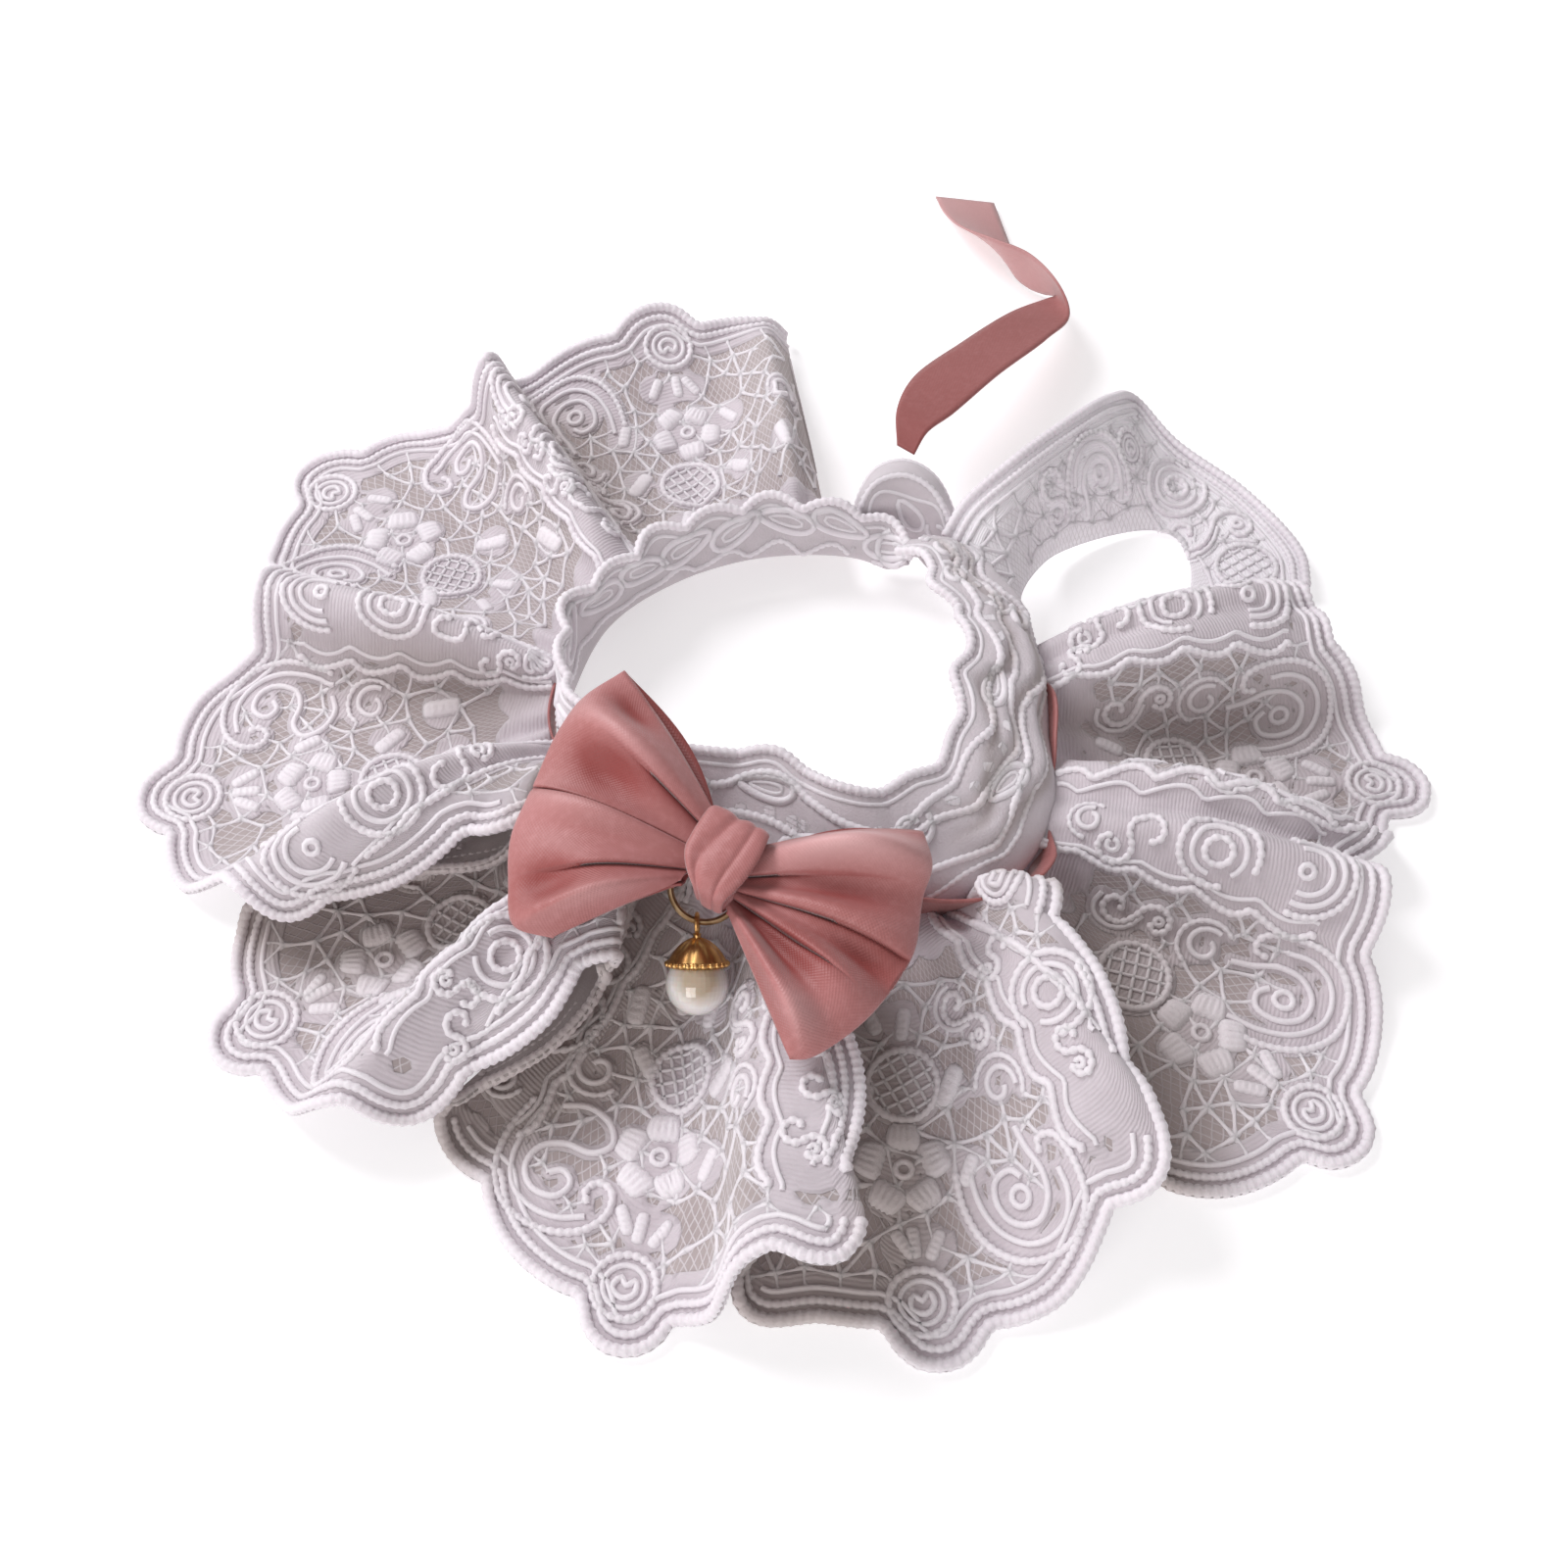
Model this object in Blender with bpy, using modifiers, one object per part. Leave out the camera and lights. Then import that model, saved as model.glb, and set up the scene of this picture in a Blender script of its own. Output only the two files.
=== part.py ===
"""Pet scarf: a gathered lace ruffle with a threaded ribbon, a ribbon bow and a pearl charm.

The collar lies on a flat surface, its neck opening upwards.  Lengths are in millimetres and
are turned into metres when a mesh is made.  Azimuths are in degrees round the neck centre,
counter-clockwise seen from above, with 270 at the front of the collar.
"""

import math

import bmesh
import bpy
from mathutils import Matrix, Vector

MM = 0.001

NECK_CENTRE = (2.1, -18.0)  # puts the middle of the whole collar over the origin

LACE_WALL = 1.2
RIBBON_WALL = 1.0

# ---------------------------------------------------------------- the neck line
# The ribbon's line round the neck.
# azimuth, reach
NECK_LINE = (
    (70, 37), (90, 36), (112, 36), (132, 37), (152, 39), (172, 40), (192, 42), (215, 40),
    (240, 37), (265, 37), (284, 42), (300, 46), (312, 46), (328, 44), (345, 41), (362, 40),
    (385, 41), (404, 42),
)
RUFFLE_OUT = 2.6  # the ruffle starts this far outside the ribbon

# ---------------------------------------------------------------- the lace ruffle
# One row for each fold or flat of the ruffle, from the cut end round to the back right.
# name, azimuth at the neck, height at the neck, azimuth of the hem, reach of the hem,
# height of the hem, height half way out
SECTIONS = (
    ("cut_end", 80, 9, 91, 101, 1, 6),
    ("a_ridge", 90, 12, 93.5, 95, 8, 15),
    ("a_side", 99, 10, 99, 95, 9, 5),
    ("a_tip", 110, 8, 106, 96, 12, 2),
    ("a_far", 122, 8, 115, 96, 10, 2),
    ("b_foot", 132, 9, 123, 98, 3, 4),
    ("b_crest", 143, 14, 131, 86, 24, 22),
    ("b_back", 150, 10, 134, 95, 4, 8),
    ("c_side", 155, 8, 139, 105, 0, 1),
    ("c_tip", 162, 8, 147, 110, 0, 0),
    ("c_far", 170, 9, 159, 102, 2, 5),
    ("d_crest", 177, 13, 168, 94, 14, 18),
    ("d_foot", 181, 9, 173, 97, 3, 5),
    ("f_side", 185, 8, 179, 103, 0, 0),
    ("f_tip", 191, 8, 189, 108, 0, 0),
    ("f_far", 197, 9, 199, 103, 2, 7),
    ("g_crest", 200.5, 12, 205, 95, 12, 23),
    ("g_corner", 203, 12, 209, 90, 9, 21),
    ("h_side", 212, 8, 204.5, 94, 2.6, 3),
    ("h_under", 214.5, 8, 207, 97, 0, 0.5),
    ("h_low", 217, 7, 211.5, 102, 0, 0),
    ("h_tip", 220, 7, 216, 106, 0, 0),
    ("h_far", 226, 9, 224, 104, 2, 7),
    ("i_crest", 227, 11, 229, 102, 11, 21),
    ("i_corner", 229.5, 11, 234, 95, 8, 19),
    ("j_side", 240, 8, 235.5, 91, 2.6, 3),
    ("j_under", 242.5, 8, 238, 94, 0, 0.5),
    ("j_low", 245, 7, 242, 97, 0, 0),
    ("k_side", 247, 7, 248, 102, 0, 0),
    ("k_tip", 252, 7, 257, 109, 0, 0),
    ("k_far", 257, 8, 263, 106, 4, 7),
    ("l_rise", 261, 11, 266, 102, 17, 15),
    ("l_corner", 265, 12, 273, 102, 19, 17),
    ("m_side", 275.5, 8, 265, 102, 2.6, 3),
    ("m_under", 278, 8, 267, 104, 0, 0.5),
    ("m_low", 280.5, 7, 271.5, 103, 0, 0),
    ("m_tip", 285, 7, 280, 110, 0, 0),
    ("m_far", 291, 8, 288, 108, 2, 5),
    ("n_rise", 294, 11, 294, 103, 9, 14),
    ("n_corner", 297.5, 11, 299, 101, 14, 20),
    ("o_side", 308, 8, 301, 98, 2.6, 3),
    ("o_under", 310, 8, 303, 101, 0, 0.5),
    ("o_low", 312, 7, 307.5, 106, 0, 0),
    ("o_tip", 314, 7, 316, 112, 0, 0),
    ("o_far", 318, 8, 326, 105, 2, 3),
    ("o_rise", 320, 10, 331, 101, 7, 11),
    ("p_crest", 323, 12, 336, 98, 13, 18),
    ("p_back", 329, 9, 338.5, 94, 5, 9),
    ("q_crest", 336, 12, 342, 97, 9, 18.5),
    ("q_side", 342, 8, 346.5, 99, 0, 2),
    ("q_tip", 347, 7, 352, 104, 0, 0),
    ("q_far", 352, 8, 360, 96, 2, 3),
    ("r_rise", 354, 10, 363, 94, 8, 12),
    ("r_crest", 358, 12, 367.5, 91, 13, 18),
    ("r_back", 363.5, 9, 369.7, 88, 6, 9),
    ("s_crest", 369, 12, 372.5, 89, 14, 19),
    ("s_foot", 374, 8, 376.5, 87, 0, 1),
)

# Where the hem of a flap runs back towards the neck over the next flat.
# section, azimuth, reach and height of the hem's inner end, extra height half way along it
LAPS = {
    "g_corner": (215, 51, 19, 0),
    "i_corner": (243, 62, 18, 0),
    "l_corner": (276, 58, 15, 0),
    "n_corner": (306, 57, 20, 3),
}
LAP_OUTER_SHARES = (0.33, 0.66, 1.0)
LAP_RETURN_SHARES = (0.06, 0.38, 0.72)
LAP_RETURN_HEIGHT = 8.0
LAP_RETURN_LIFT = 2.4
LAP_RETURN_NECK = 2.0

HEM_STEP = 6.7
ACROSS = (0.0, 0.14, 0.32, 0.5, 0.69, 0.87, 1.0)

# The hem's scallops: one lace repeat from one tip to the next.
REPEAT = 80.0
# start and end as shares of a repeat, depth
LOBES = (
    (-0.09, 0.09, 4.5),
    (0.09, 0.38, 3.0),
    (0.38, 0.62, 2.4),
    (0.62, 0.91, 3.0),
)

# ---------------------------------------------------------------- the standing frill
# azimuth, how far its top leans out of the neck line, height of its top
FRILL = (
    (77, 2, 17), (92, 2.5, 17), (112, 2.5, 17), (134, 2, 17), (156, 1, 18), (176, 0, 19),
    (196, -3, 20), (216, -7, 21), (240, -9, 22), (266, -10, 22), (288, -10, 22),
    (306, -11, 21), (322, -12, 21), (340, -11, 22), (362, -11, 22), (384, -10, 21),
    (398, -8, 20),
)
RIBBON_NECK_ENDS = (80, 398)
RIBBON_STEPS = 52
FRILL_IN = 2.4
FRILL_FOOT = 7.0
FRILL_WAVE = 0.8
FRILL_WAVE_LENGTH = 17.0
FRILL_STEPS = 62
FRILL_SHARES = (0.0, 0.35, 0.7, 1.0)

# ---------------------------------------------------------------- the end loop of the lace
# The strip's last pleat goes out to the back right, turns, and comes back on the outside.
# outer edge: azimuth, reach, height; inner edge: azimuth, reach, height
END_LOOP = (
    (51, 45, 16, 32, 45, 8),
    (49, 57, 20, 37, 57, 3),
    (48, 72, 20, 38, 66, 1),
    (48, 88, 16, 36, 77, 0),
    (48, 98, 9, 33.5, 83, 0),
    (42, 99, 4, 31, 85, 0),
    (32, 102, 2, 26, 82, 0),
    (22, 102, 2, 20, 77, 0),
    (17.5, 99, 2, 17.5, 77, 0),
)
# The curl of the strip's other end, over the foot of the ribbon tail.
# x, y and z along its arch, beside the neck centre
END_CURL = (
    (10.5, 35, 8), (12.8, 39.2, 13), (15.8, 43, 17.5), (20, 44, 19), (24, 41.5, 16.5),
    (27.5, 36.5, 12), (30, 32.5, 8),
)
END_CURL_WIDTH = 8.0

# ---------------------------------------------------------------- the ribbon's free end
# x, y and z of its middle beside the neck centre, azimuth and tilt of the line across it
TAIL = (
    (20.3, 50.5, 16.5, -40, 0),
    (21.8, 58, 16.5, -50, 5),
    (26, 66, 15.5, -57, 5),
    (36, 79, 13.5, -60, 8),
    (47, 92.5, 10.5, -62, 12),
    (54, 102, 7.5, -75, 25),
    (54.5, 109.5, 6, -100, 50),
    (49.5, 115.5, 5.5, -118, 72),
    (44.5, 120.5, 5.5, -160, 60),
    (41.5, 128, 4.5, -178, 30),
    (39.5, 137.5, 2.5, -187, 10),
    (38.3, 147, 0.6, -190, 0),
)
RIBBON_WIDTH = 13.0
TAIL_ROOT_WIDTH = 4.0

# ---------------------------------------------------------------- the bow
BOW_AT = (-10.8, -46.4, 25.6)
BOW_TURN = -30.0
BOW_TILT = 10.0
# One row for each ray of a wing, top to bottom, in the bow's plane.
# height at the knot, reach and height at the outer fold, lift of the outer fold, puff
LEFT_WING = (
    (5.2, -29.8, 20.0, 1.0, 0.9),
    (4.0, -32.4, 13.5, 1.0, 1.2),
    (2.5, -33.0, 6.0, 0.5, 1.15),
    (0.5, -31.6, -2.2, 0.0, 0.6),
    (-0.7, -31.0, -5.2, 0.0, 1.0),
    (-1.8, -29.7, -11.5, 0.0, 0.75),
    (-3.2, -26.0, -18.0, 0.0, 1.1),
    (-4.6, -21.6, -23.2, 0.0, 1.1),
    (-5.6, -15.6, -22.0, 0.0, 0.8),
)
RIGHT_WING = (
    (5.2, 22.9, 18.8, 1.0, 1.1),
    (4.2, 26.6, 14.5, 1.0, 1.3),
    (3.0, 27.2, 10.5, 0.5, 0.6),
    (1.6, 30.4, 2.2, 0.5, 1.1),
    (0.0, 30.6, -3.5, 1.0, 0.6),
    (-1.8, 29.8, -10.0, 2.0, 1.2),
    (-3.4, 28.0, -15.5, 2.5, 0.8),
    (-4.6, 25.6, -20.0, 3.0, 1.2),
    (-5.6, 23.4, -21.4, 3.0, 0.9),
)
WING_ROOT = 5.6
ROOT_LIFT = 1.2
WING_PUFF = 4.2
WING_BACK = 2.6
KNOT_SIZE = (9.6, 15.0, 7.6)
KNOT_LIFT = 2.3

# ---------------------------------------------------------------- the charm
CHARM_SLOPE = 36.0  # the ring and its drop lie down the slope of the ruffle
RING_AT = (-13.7, -46.8, 20.4)
RING_RADIUS = 5.3
RING_WIRE = 0.5
RING_HOOK = 50.0  # where the ring is caught by the knot, from its right hand side
DROP_ANGLE = -104.0
EYE_RADIUS = 1.5
EYE_WIRE = 0.35
EYE_DROP = 0.4
PEARL_RADIUS = 4.7
PEARL_DROP = 9.4
CAP_GAP = 0.3
CAP_WALL = 0.55
CAP_RIM_ABOVE = 2.7
CAP_STALK = 1.3


# ================================================================ helpers
def clear_scene():
    for old in list(bpy.data.objects):
        bpy.data.objects.remove(old, do_unlink=True)


def material(name, colour, roughness, metallic=0.0):
    made = bpy.data.materials.new(name)
    made.use_nodes = True
    shader = made.node_tree.nodes["Principled BSDF"]
    shader.inputs["Base Color"].default_value = (*colour, 1.0)
    shader.inputs["Roughness"].default_value = roughness
    shader.inputs["Metallic"].default_value = metallic
    made.diffuse_color = (*colour, 1.0)
    return made


def polar(azimuth, reach, height):
    """A point from its azimuth and reach round the neck centre."""
    turn = math.radians(azimuth)
    return Vector((
        NECK_CENTRE[0] + reach * math.cos(turn),
        NECK_CENTRE[1] + reach * math.sin(turn),
        height,
    ))


def from_neck(x, y, height):
    """A point from its place beside the neck centre."""
    return Vector((NECK_CENTRE[0] + x, NECK_CENTRE[1] + y, height))


def looked_up(table, at):
    """The other columns of a table at a value of its first, on a smooth curve."""
    keys = [row[0] for row in table]
    last = len(table) - 1
    at = min(max(at, keys[0]), keys[-1])
    i = max(k for k in range(last) if keys[k] <= at)
    share = (at - keys[i]) / (keys[i + 1] - keys[i])
    found = []
    for column in range(1, len(table[0])):
        values = [table[min(max(k, 0), last)][column] for k in (i - 1, i, i + 1, i + 2)]
        found.append(through(values, share))
    return found


def through(values, share):
    """Catmull-Rom between the second and the third of four values."""
    a, b, c, d = values
    return b + 0.5 * share * (
        c - a + share * (2 * a - 5 * b + 4 * c - d + share * (3 * (b - c) + d - a))
    )


def chain(rows, per_gap, measure, straight=()):
    """Rows of vectors with more rows between them, on centripetal Catmull-Rom curves.

    measure picks the vector of a row whose spacing sets the curve's knots; the vectors picked
    by straight go straight from row to row.
    """
    last = len(rows) - 1
    spacing = [
        max((rows[k + 1][measure] - rows[k][measure]).length, 0.5) ** 0.5 for k in range(last)
    ]
    made = []
    for i in range(last):
        here = spacing[i]
        before = spacing[max(i - 1, 0)]
        after = spacing[min(i + 1, last - 1)]
        a = rows[max(i - 1, 0)]
        b = rows[i]
        c = rows[i + 1]
        d = rows[min(i + 2, last)]
        for step in range(per_gap + (i == last - 1)):
            share = step / per_gap
            made.append(tuple(
                b[k].lerp(c[k], share) if k in straight
                else centripetal((a[k], b[k], c[k], d[k]), before, here, after, share)
                for k in range(len(b))
            ))
    return made


def centripetal(points, before, here, after, share):
    a, b, c, d = points
    start = (c - b) / here
    end = start.copy()
    if (b - a).length > 0:
        start = (b - a) / before - (c - a) / (before + here) + (c - b) / here
    if (d - c).length > 0:
        end = (c - b) / here - (d - b) / (here + after) + (d - c) / after
    s2 = share * share
    s3 = s2 * share
    return (
        b * (2 * s3 - 3 * s2 + 1)
        + start * here * (s3 - 2 * s2 + share)
        + c * (3 * s2 - 2 * s3)
        + end * here * (s3 - s2)
    )


def evened(rows, measure, step):
    """Rows again, about step apart along the line of one of their vectors."""
    along = [0.0]
    for a, b in zip(rows, rows[1:]):
        along.append(along[-1] + (b[measure] - a[measure]).length)
    count = round(along[-1] / step)
    made = []
    i = 0
    for k in range(count + 1):
        at = along[-1] * k / count
        while i < len(rows) - 2 and along[i + 1] < at:
            i += 1
        share = (at - along[i]) / (along[i + 1] - along[i])
        made.append(tuple(a.lerp(b, share) for a, b in zip(rows[i], rows[i + 1])))
    return made


def add(name, mesh, kind, group):
    mesh.materials.append(kind)
    made = bpy.data.objects.new(name, mesh)
    group.objects.link(made)
    return made


def cloth_mesh(name, grid):
    """A surface through the rows of a grid of points."""
    mesh = bpy.data.meshes.new(name)
    wide = len(grid[0])
    points = [point * MM for row in grid for point in row]
    faces = []
    for i in range(len(grid) - 1):
        for j in range(wide - 1):
            corner = i * wide + j
            faces.append((corner, corner + 1, corner + wide + 1, corner + wide))
    mesh.from_pydata(points, [], faces)
    mesh.shade_smooth()
    return mesh


def cloth(name, grid, wall, kind, group, side):
    """A cloth wall: the grid's surface with its thickness on one side, or on both for 0."""
    made = add(name, cloth_mesh(name, grid), kind, group)
    thicken = made.modifiers.new("wall", "SOLIDIFY")
    thicken.thickness = wall * MM
    thicken.offset = side
    thicken.use_even_offset = False
    return made


# ================================================================ the lace
def neck_point(azimuth, outside, height):
    reach = looked_up(NECK_LINE, azimuth)[0]
    return polar(azimuth, reach + outside, height)


def section(neck, neck_height, hem, reach, hem_height, middle):
    """A section's points at the neck, half way and at the hem."""
    start = neck_point(neck, RUFFLE_OUT, neck_height)
    end = polar(hem, reach, hem_height)
    half = start.lerp(end, 0.5)
    half.z = middle
    return start, half, end


def lap_sections(row, following):
    """The sections of a flap whose hem runs inwards, and of the cloth coming back under it."""
    name, neck, neck_height, hem, reach, lift, middle = row
    _, next_neck, next_height, next_hem, next_reach, next_lift, next_middle = following
    in_hem, in_reach, in_lift, hump = LAPS[name]
    count = len(LAP_OUTER_SHARES) + len(LAP_RETURN_SHARES) + 1
    made = []
    for k, share in enumerate(LAP_OUTER_SHARES):
        made.append(section(
            neck + (next_neck - neck) * (k + 1) / count,
            neck_height,
            hem + (in_hem - hem) * share,
            reach + (in_reach - reach) * share,
            lift + (in_lift - lift) * share + 4 * hump * share * (1 - share),
            middle + (in_lift - middle) * share,
        ))
    for k, share in enumerate(LAP_RETURN_SHARES):
        low = LAP_RETURN_HEIGHT * (1 - share) ** 1.5 + LAP_RETURN_LIFT
        made.append(section(
            neck + (next_neck - neck) * (k + 1 + len(LAP_OUTER_SHARES)) / count,
            next_height + LAP_RETURN_NECK * (1 - share),
            in_hem + (next_hem - in_hem) * share,
            in_reach + (next_reach - in_reach) * share,
            low + next_lift * share,
            low + next_middle * share,
        ))
    return made


def ruffle_sections():
    made = []
    tips = []
    for i, row in enumerate(SECTIONS):
        if row[0].endswith("tip"):
            tips.append(len(made))
        made.append(section(*row[1:]))
        if row[0] in LAPS:
            made.extend(lap_sections(row, SECTIONS[i + 1]))
    return made, tips


def repeats_along(hem, tip_indices):
    """The number of lace repeats along the hem at each of its points, whole at each tip."""
    along = [0.0]
    for a, b in zip(hem, hem[1:]):
        along.append(along[-1] + (b - a).length)
    counts = []
    total = 0
    for a, b in zip(tip_indices, tip_indices[1:]):
        repeats = max(1, round((along[b] - along[a]) / REPEAT))
        for k in range(a, b):
            counts.append(total + repeats * (along[k] - along[a]) / (along[b] - along[a]))
        total += repeats
    first = tip_indices[0]
    last = tip_indices[-1]
    before = [(along[k] - along[first]) / REPEAT for k in range(first)]
    after = [total + (along[k] - along[last]) / REPEAT for k in range(last, len(hem))]
    return before + counts + after


def scallop(repeats):
    """How far the hem stands out at a place along it."""
    share = (repeats + 0.09) % 1.0 - 0.09
    for start, end, depth in LOBES:
        if share < end:
            return depth * abs(math.sin(math.pi * (share - start) / (end - start))) ** 0.7
    return 0.0


def scalloped(rows, tips):
    """The sections with their hems moved out in scallops."""
    hem = [row[2] for row in rows]
    repeats = repeats_along(hem, tips)
    made = []
    for i, (start, half, end) in enumerate(rows):
        along = (hem[min(i + 1, len(hem) - 1)] - hem[max(i - 1, 0)]).normalized()
        out = end - half
        out -= out.dot(along) * along
        out.normalize()
        made.append((start, half, end + out * scallop(repeats[i])))
    return made


def across(start, half, end, share):
    """A point on the curve through a section's three points."""
    return (
        start * ((1 - share) * (1 - 2 * share))
        + half * (4 * share * (1 - share))
        + end * (share * (2 * share - 1))
    )


def ruffle_grid():
    sections, tips = ruffle_sections()
    per_gap = 8
    fine = chain(sections, per_gap, 2, straight=(0,))
    fine = scalloped(fine, [tip * per_gap for tip in tips])
    rows = evened(fine, 2, HEM_STEP)
    grid = []
    for start, half, end in rows:
        line = [across(start, half, end, share) for share in ACROSS]
        for point in line:
            point.z = max(point.z, LACE_WALL / 2)
        grid.append(line)
    return grid


def frill_grid():
    first = FRILL[0][0]
    last = FRILL[-1][0]
    grid = []
    for k in range(FRILL_STEPS + 1):
        azimuth = first + (last - first) * k / FRILL_STEPS
        lean, top = looked_up(FRILL, azimuth)
        reach = looked_up(NECK_LINE, azimuth)[0]
        wave = FRILL_WAVE * math.sin(math.tau * math.radians(azimuth) * reach / FRILL_WAVE_LENGTH)
        line = []
        for share in FRILL_SHARES:
            out = -FRILL_IN + lean * share ** 1.5 + wave * share
            line.append(neck_point(azimuth, out, FRILL_FOOT + (top - FRILL_FOOT) * share))
        grid.append(line)
    return grid


def end_loop_grid():
    rows = []
    for out_turn, out_reach, out_lift, in_turn, in_reach, in_lift in END_LOOP:
        rows.append((
            polar(out_turn, out_reach, out_lift),
            polar(in_turn, in_reach, in_lift),
        ))
    grid = []
    for outer, inner in chain(rows, 4, 0):
        line = []
        for share in (0.0, 0.25, 0.5, 0.75, 1.0):
            point = inner.lerp(outer, share)
            point.z += 0.25 * (outer.z - inner.z) * math.sin(math.pi * share)
            point.z = max(point.z, 0.0)
            line.append(point)
        grid.append(line)
    return grid[::-1]


def end_curl_grid():
    rows = [(from_neck(*point),) for point in END_CURL]
    grid = []
    for (point,) in chain(rows, 3, 0):
        grid.append([
            point + Vector((0.1, 0.9, -0.3)) * END_CURL_WIDTH * (share - 0.5)
            for share in (0.0, 0.33, 0.66, 1.0)
        ])
    return grid


# ================================================================ the ribbon
def ribbon_neck_grid():
    first, last = RIBBON_NECK_ENDS
    grid = []
    for k in range(RIBBON_STEPS + 1):
        azimuth = first + (last - first) * k / RIBBON_STEPS
        lean = max(looked_up(FRILL, azimuth)[0], 0.0)
        grid.append([
            neck_point(azimuth, lean * share, height)
            for share, height in ((0.0, 8.5), (0.35, 12.0), (0.8, 15.5))
        ])
    return grid


def tail_grid():
    rows = []
    for k, (x, y, z, turn, tilt) in enumerate(TAIL):
        width = RIBBON_WIDTH if k > 1 else (TAIL_ROOT_WIDTH, 8.5)[k]
        turn = math.radians(turn)
        tilt = math.radians(tilt)
        over = Vector((
            math.cos(turn) * math.cos(tilt),
            math.sin(turn) * math.cos(tilt),
            math.sin(tilt),
        ))
        rows.append((from_neck(x, y, z), over * width))
    grid = []
    for middle, over in chain(rows, 4, 0):
        line = [middle + over * share for share in (-0.5, 0.0, 0.5)]
        for point in line:
            point.z = max(point.z, 0.0)
        grid.append(line)
    return grid[::-1]


# ================================================================ the bow
def bow_frame():
    """The bow's place: its x along the wings, its y up the knot, its z out of the bow."""
    turn = Matrix.Rotation(math.radians(BOW_TILT), 4, "X")
    spin = Matrix.Rotation(math.radians(BOW_TURN), 4, "Z")
    return Matrix.Translation(from_neck(*BOW_AT)) @ turn @ spin


def wing_grid(wing):
    """A wing: the ribbon goes out in front, folds over and comes back behind."""
    side = math.copysign(1.0, wing[0][1])
    rows = []
    for root, reach, height, lift, puff in wing:
        rows.append((
            Vector((side * WING_ROOT, root, 0.0)),
            Vector((reach, height, lift)),
            Vector((puff, 0.0, 0.0)),
        ))
    frame = bow_frame()
    grid = []
    for root, tip, puff in chain(rows, 2, 1):
        line = []
        for share in (0.0, 0.16, 0.34, 0.54, 0.74, 0.91, 1.0):
            lift = ROOT_LIFT * (1 - share) + WING_PUFF * puff.x * swell(share)
            line.append(root.lerp(tip, share) + Vector((0, 0, lift)))
        for share in (0.91, 0.74, 0.54, 0.34, 0.16, 0.0):
            lift = ROOT_LIFT * (1 - share) + WING_BACK * swell(share)
            line.append(root.lerp(tip, share) - Vector((0, 0, lift)))
        grid.append([frame @ point for point in line])
    return grid if side > 0 else grid[::-1]


def swell(share):
    """The lift of a wing's layer from its knot to its outer fold."""
    return math.sin(math.pi * share ** 1.3) ** 0.8 + 0.35 * share * (1 - share) ** 0.4


def bow_knot(kind, group):
    bpy.ops.mesh.primitive_cube_add(size=1.0)
    knot = bpy.context.object
    knot.name = "bow_knot"
    knot.data.name = "bow_knot"
    knot.data.transform(Matrix.Diagonal((*(size * MM for size in KNOT_SIZE), 1.0)))
    bevel = knot.modifiers.new("round", "BEVEL")
    bevel.width = 2.6 * MM
    bevel.segments = 4
    frame = bow_frame()
    frame.translation = (frame @ Vector((0, 0, KNOT_LIFT))) * MM
    knot.matrix_world = frame
    knot.data.materials.append(kind)
    knot.data.shade_smooth()
    move_to(knot, group)


def move_to(made, group):
    for old in list(made.users_collection):
        old.objects.unlink(made)
    group.objects.link(made)


# ================================================================ the charm
def slope_frame():
    """The ring's place: x to the right, y up the slope, z out of it."""
    turn = Matrix.Rotation(math.radians(CHARM_SLOPE), 4, "X")
    return Matrix.Translation(from_neck(*RING_AT)) @ turn


def on_ring(angle):
    turn = math.radians(angle)
    return Vector((RING_RADIUS * math.cos(turn), RING_RADIUS * math.sin(turn), 0.0))


def empty_at(name, place, group, parent=None):
    made = bpy.data.objects.new(name, None)
    group.objects.link(made)
    made.parent = parent
    made.matrix_world = place
    return made


def torus(name, radius, wire, segments, sides):
    bpy.ops.mesh.primitive_torus_add(
        major_radius=radius * MM,
        minor_radius=wire * MM,
        major_segments=segments,
        minor_segments=sides,
    )
    made = bpy.context.object
    made.name = name
    made.data.name = name
    made.data.shade_smooth()
    return made


def placed(place):
    """The same place with its position in metres."""
    moved = place.copy()
    moved.translation = place.translation * MM
    return moved


def jump_ring(kind, group):
    frame = slope_frame()
    hook = frame.copy()
    hook.translation = frame @ on_ring(RING_HOOK)
    pivot = empty_at("ring_pivot", placed(hook), group)
    ring = torus("jump_ring", RING_RADIUS, RING_WIRE, 40, 10)
    ring.data.materials.append(kind)
    move_to(ring, group)
    ring.parent = pivot
    ring.matrix_world = placed(frame)
    return ring


def drop_frame():
    """The drop's place: its y points up its axis, its origin is on the ring's wire."""
    frame = slope_frame()
    frame.translation = frame @ on_ring(DROP_ANGLE)
    return frame


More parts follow.
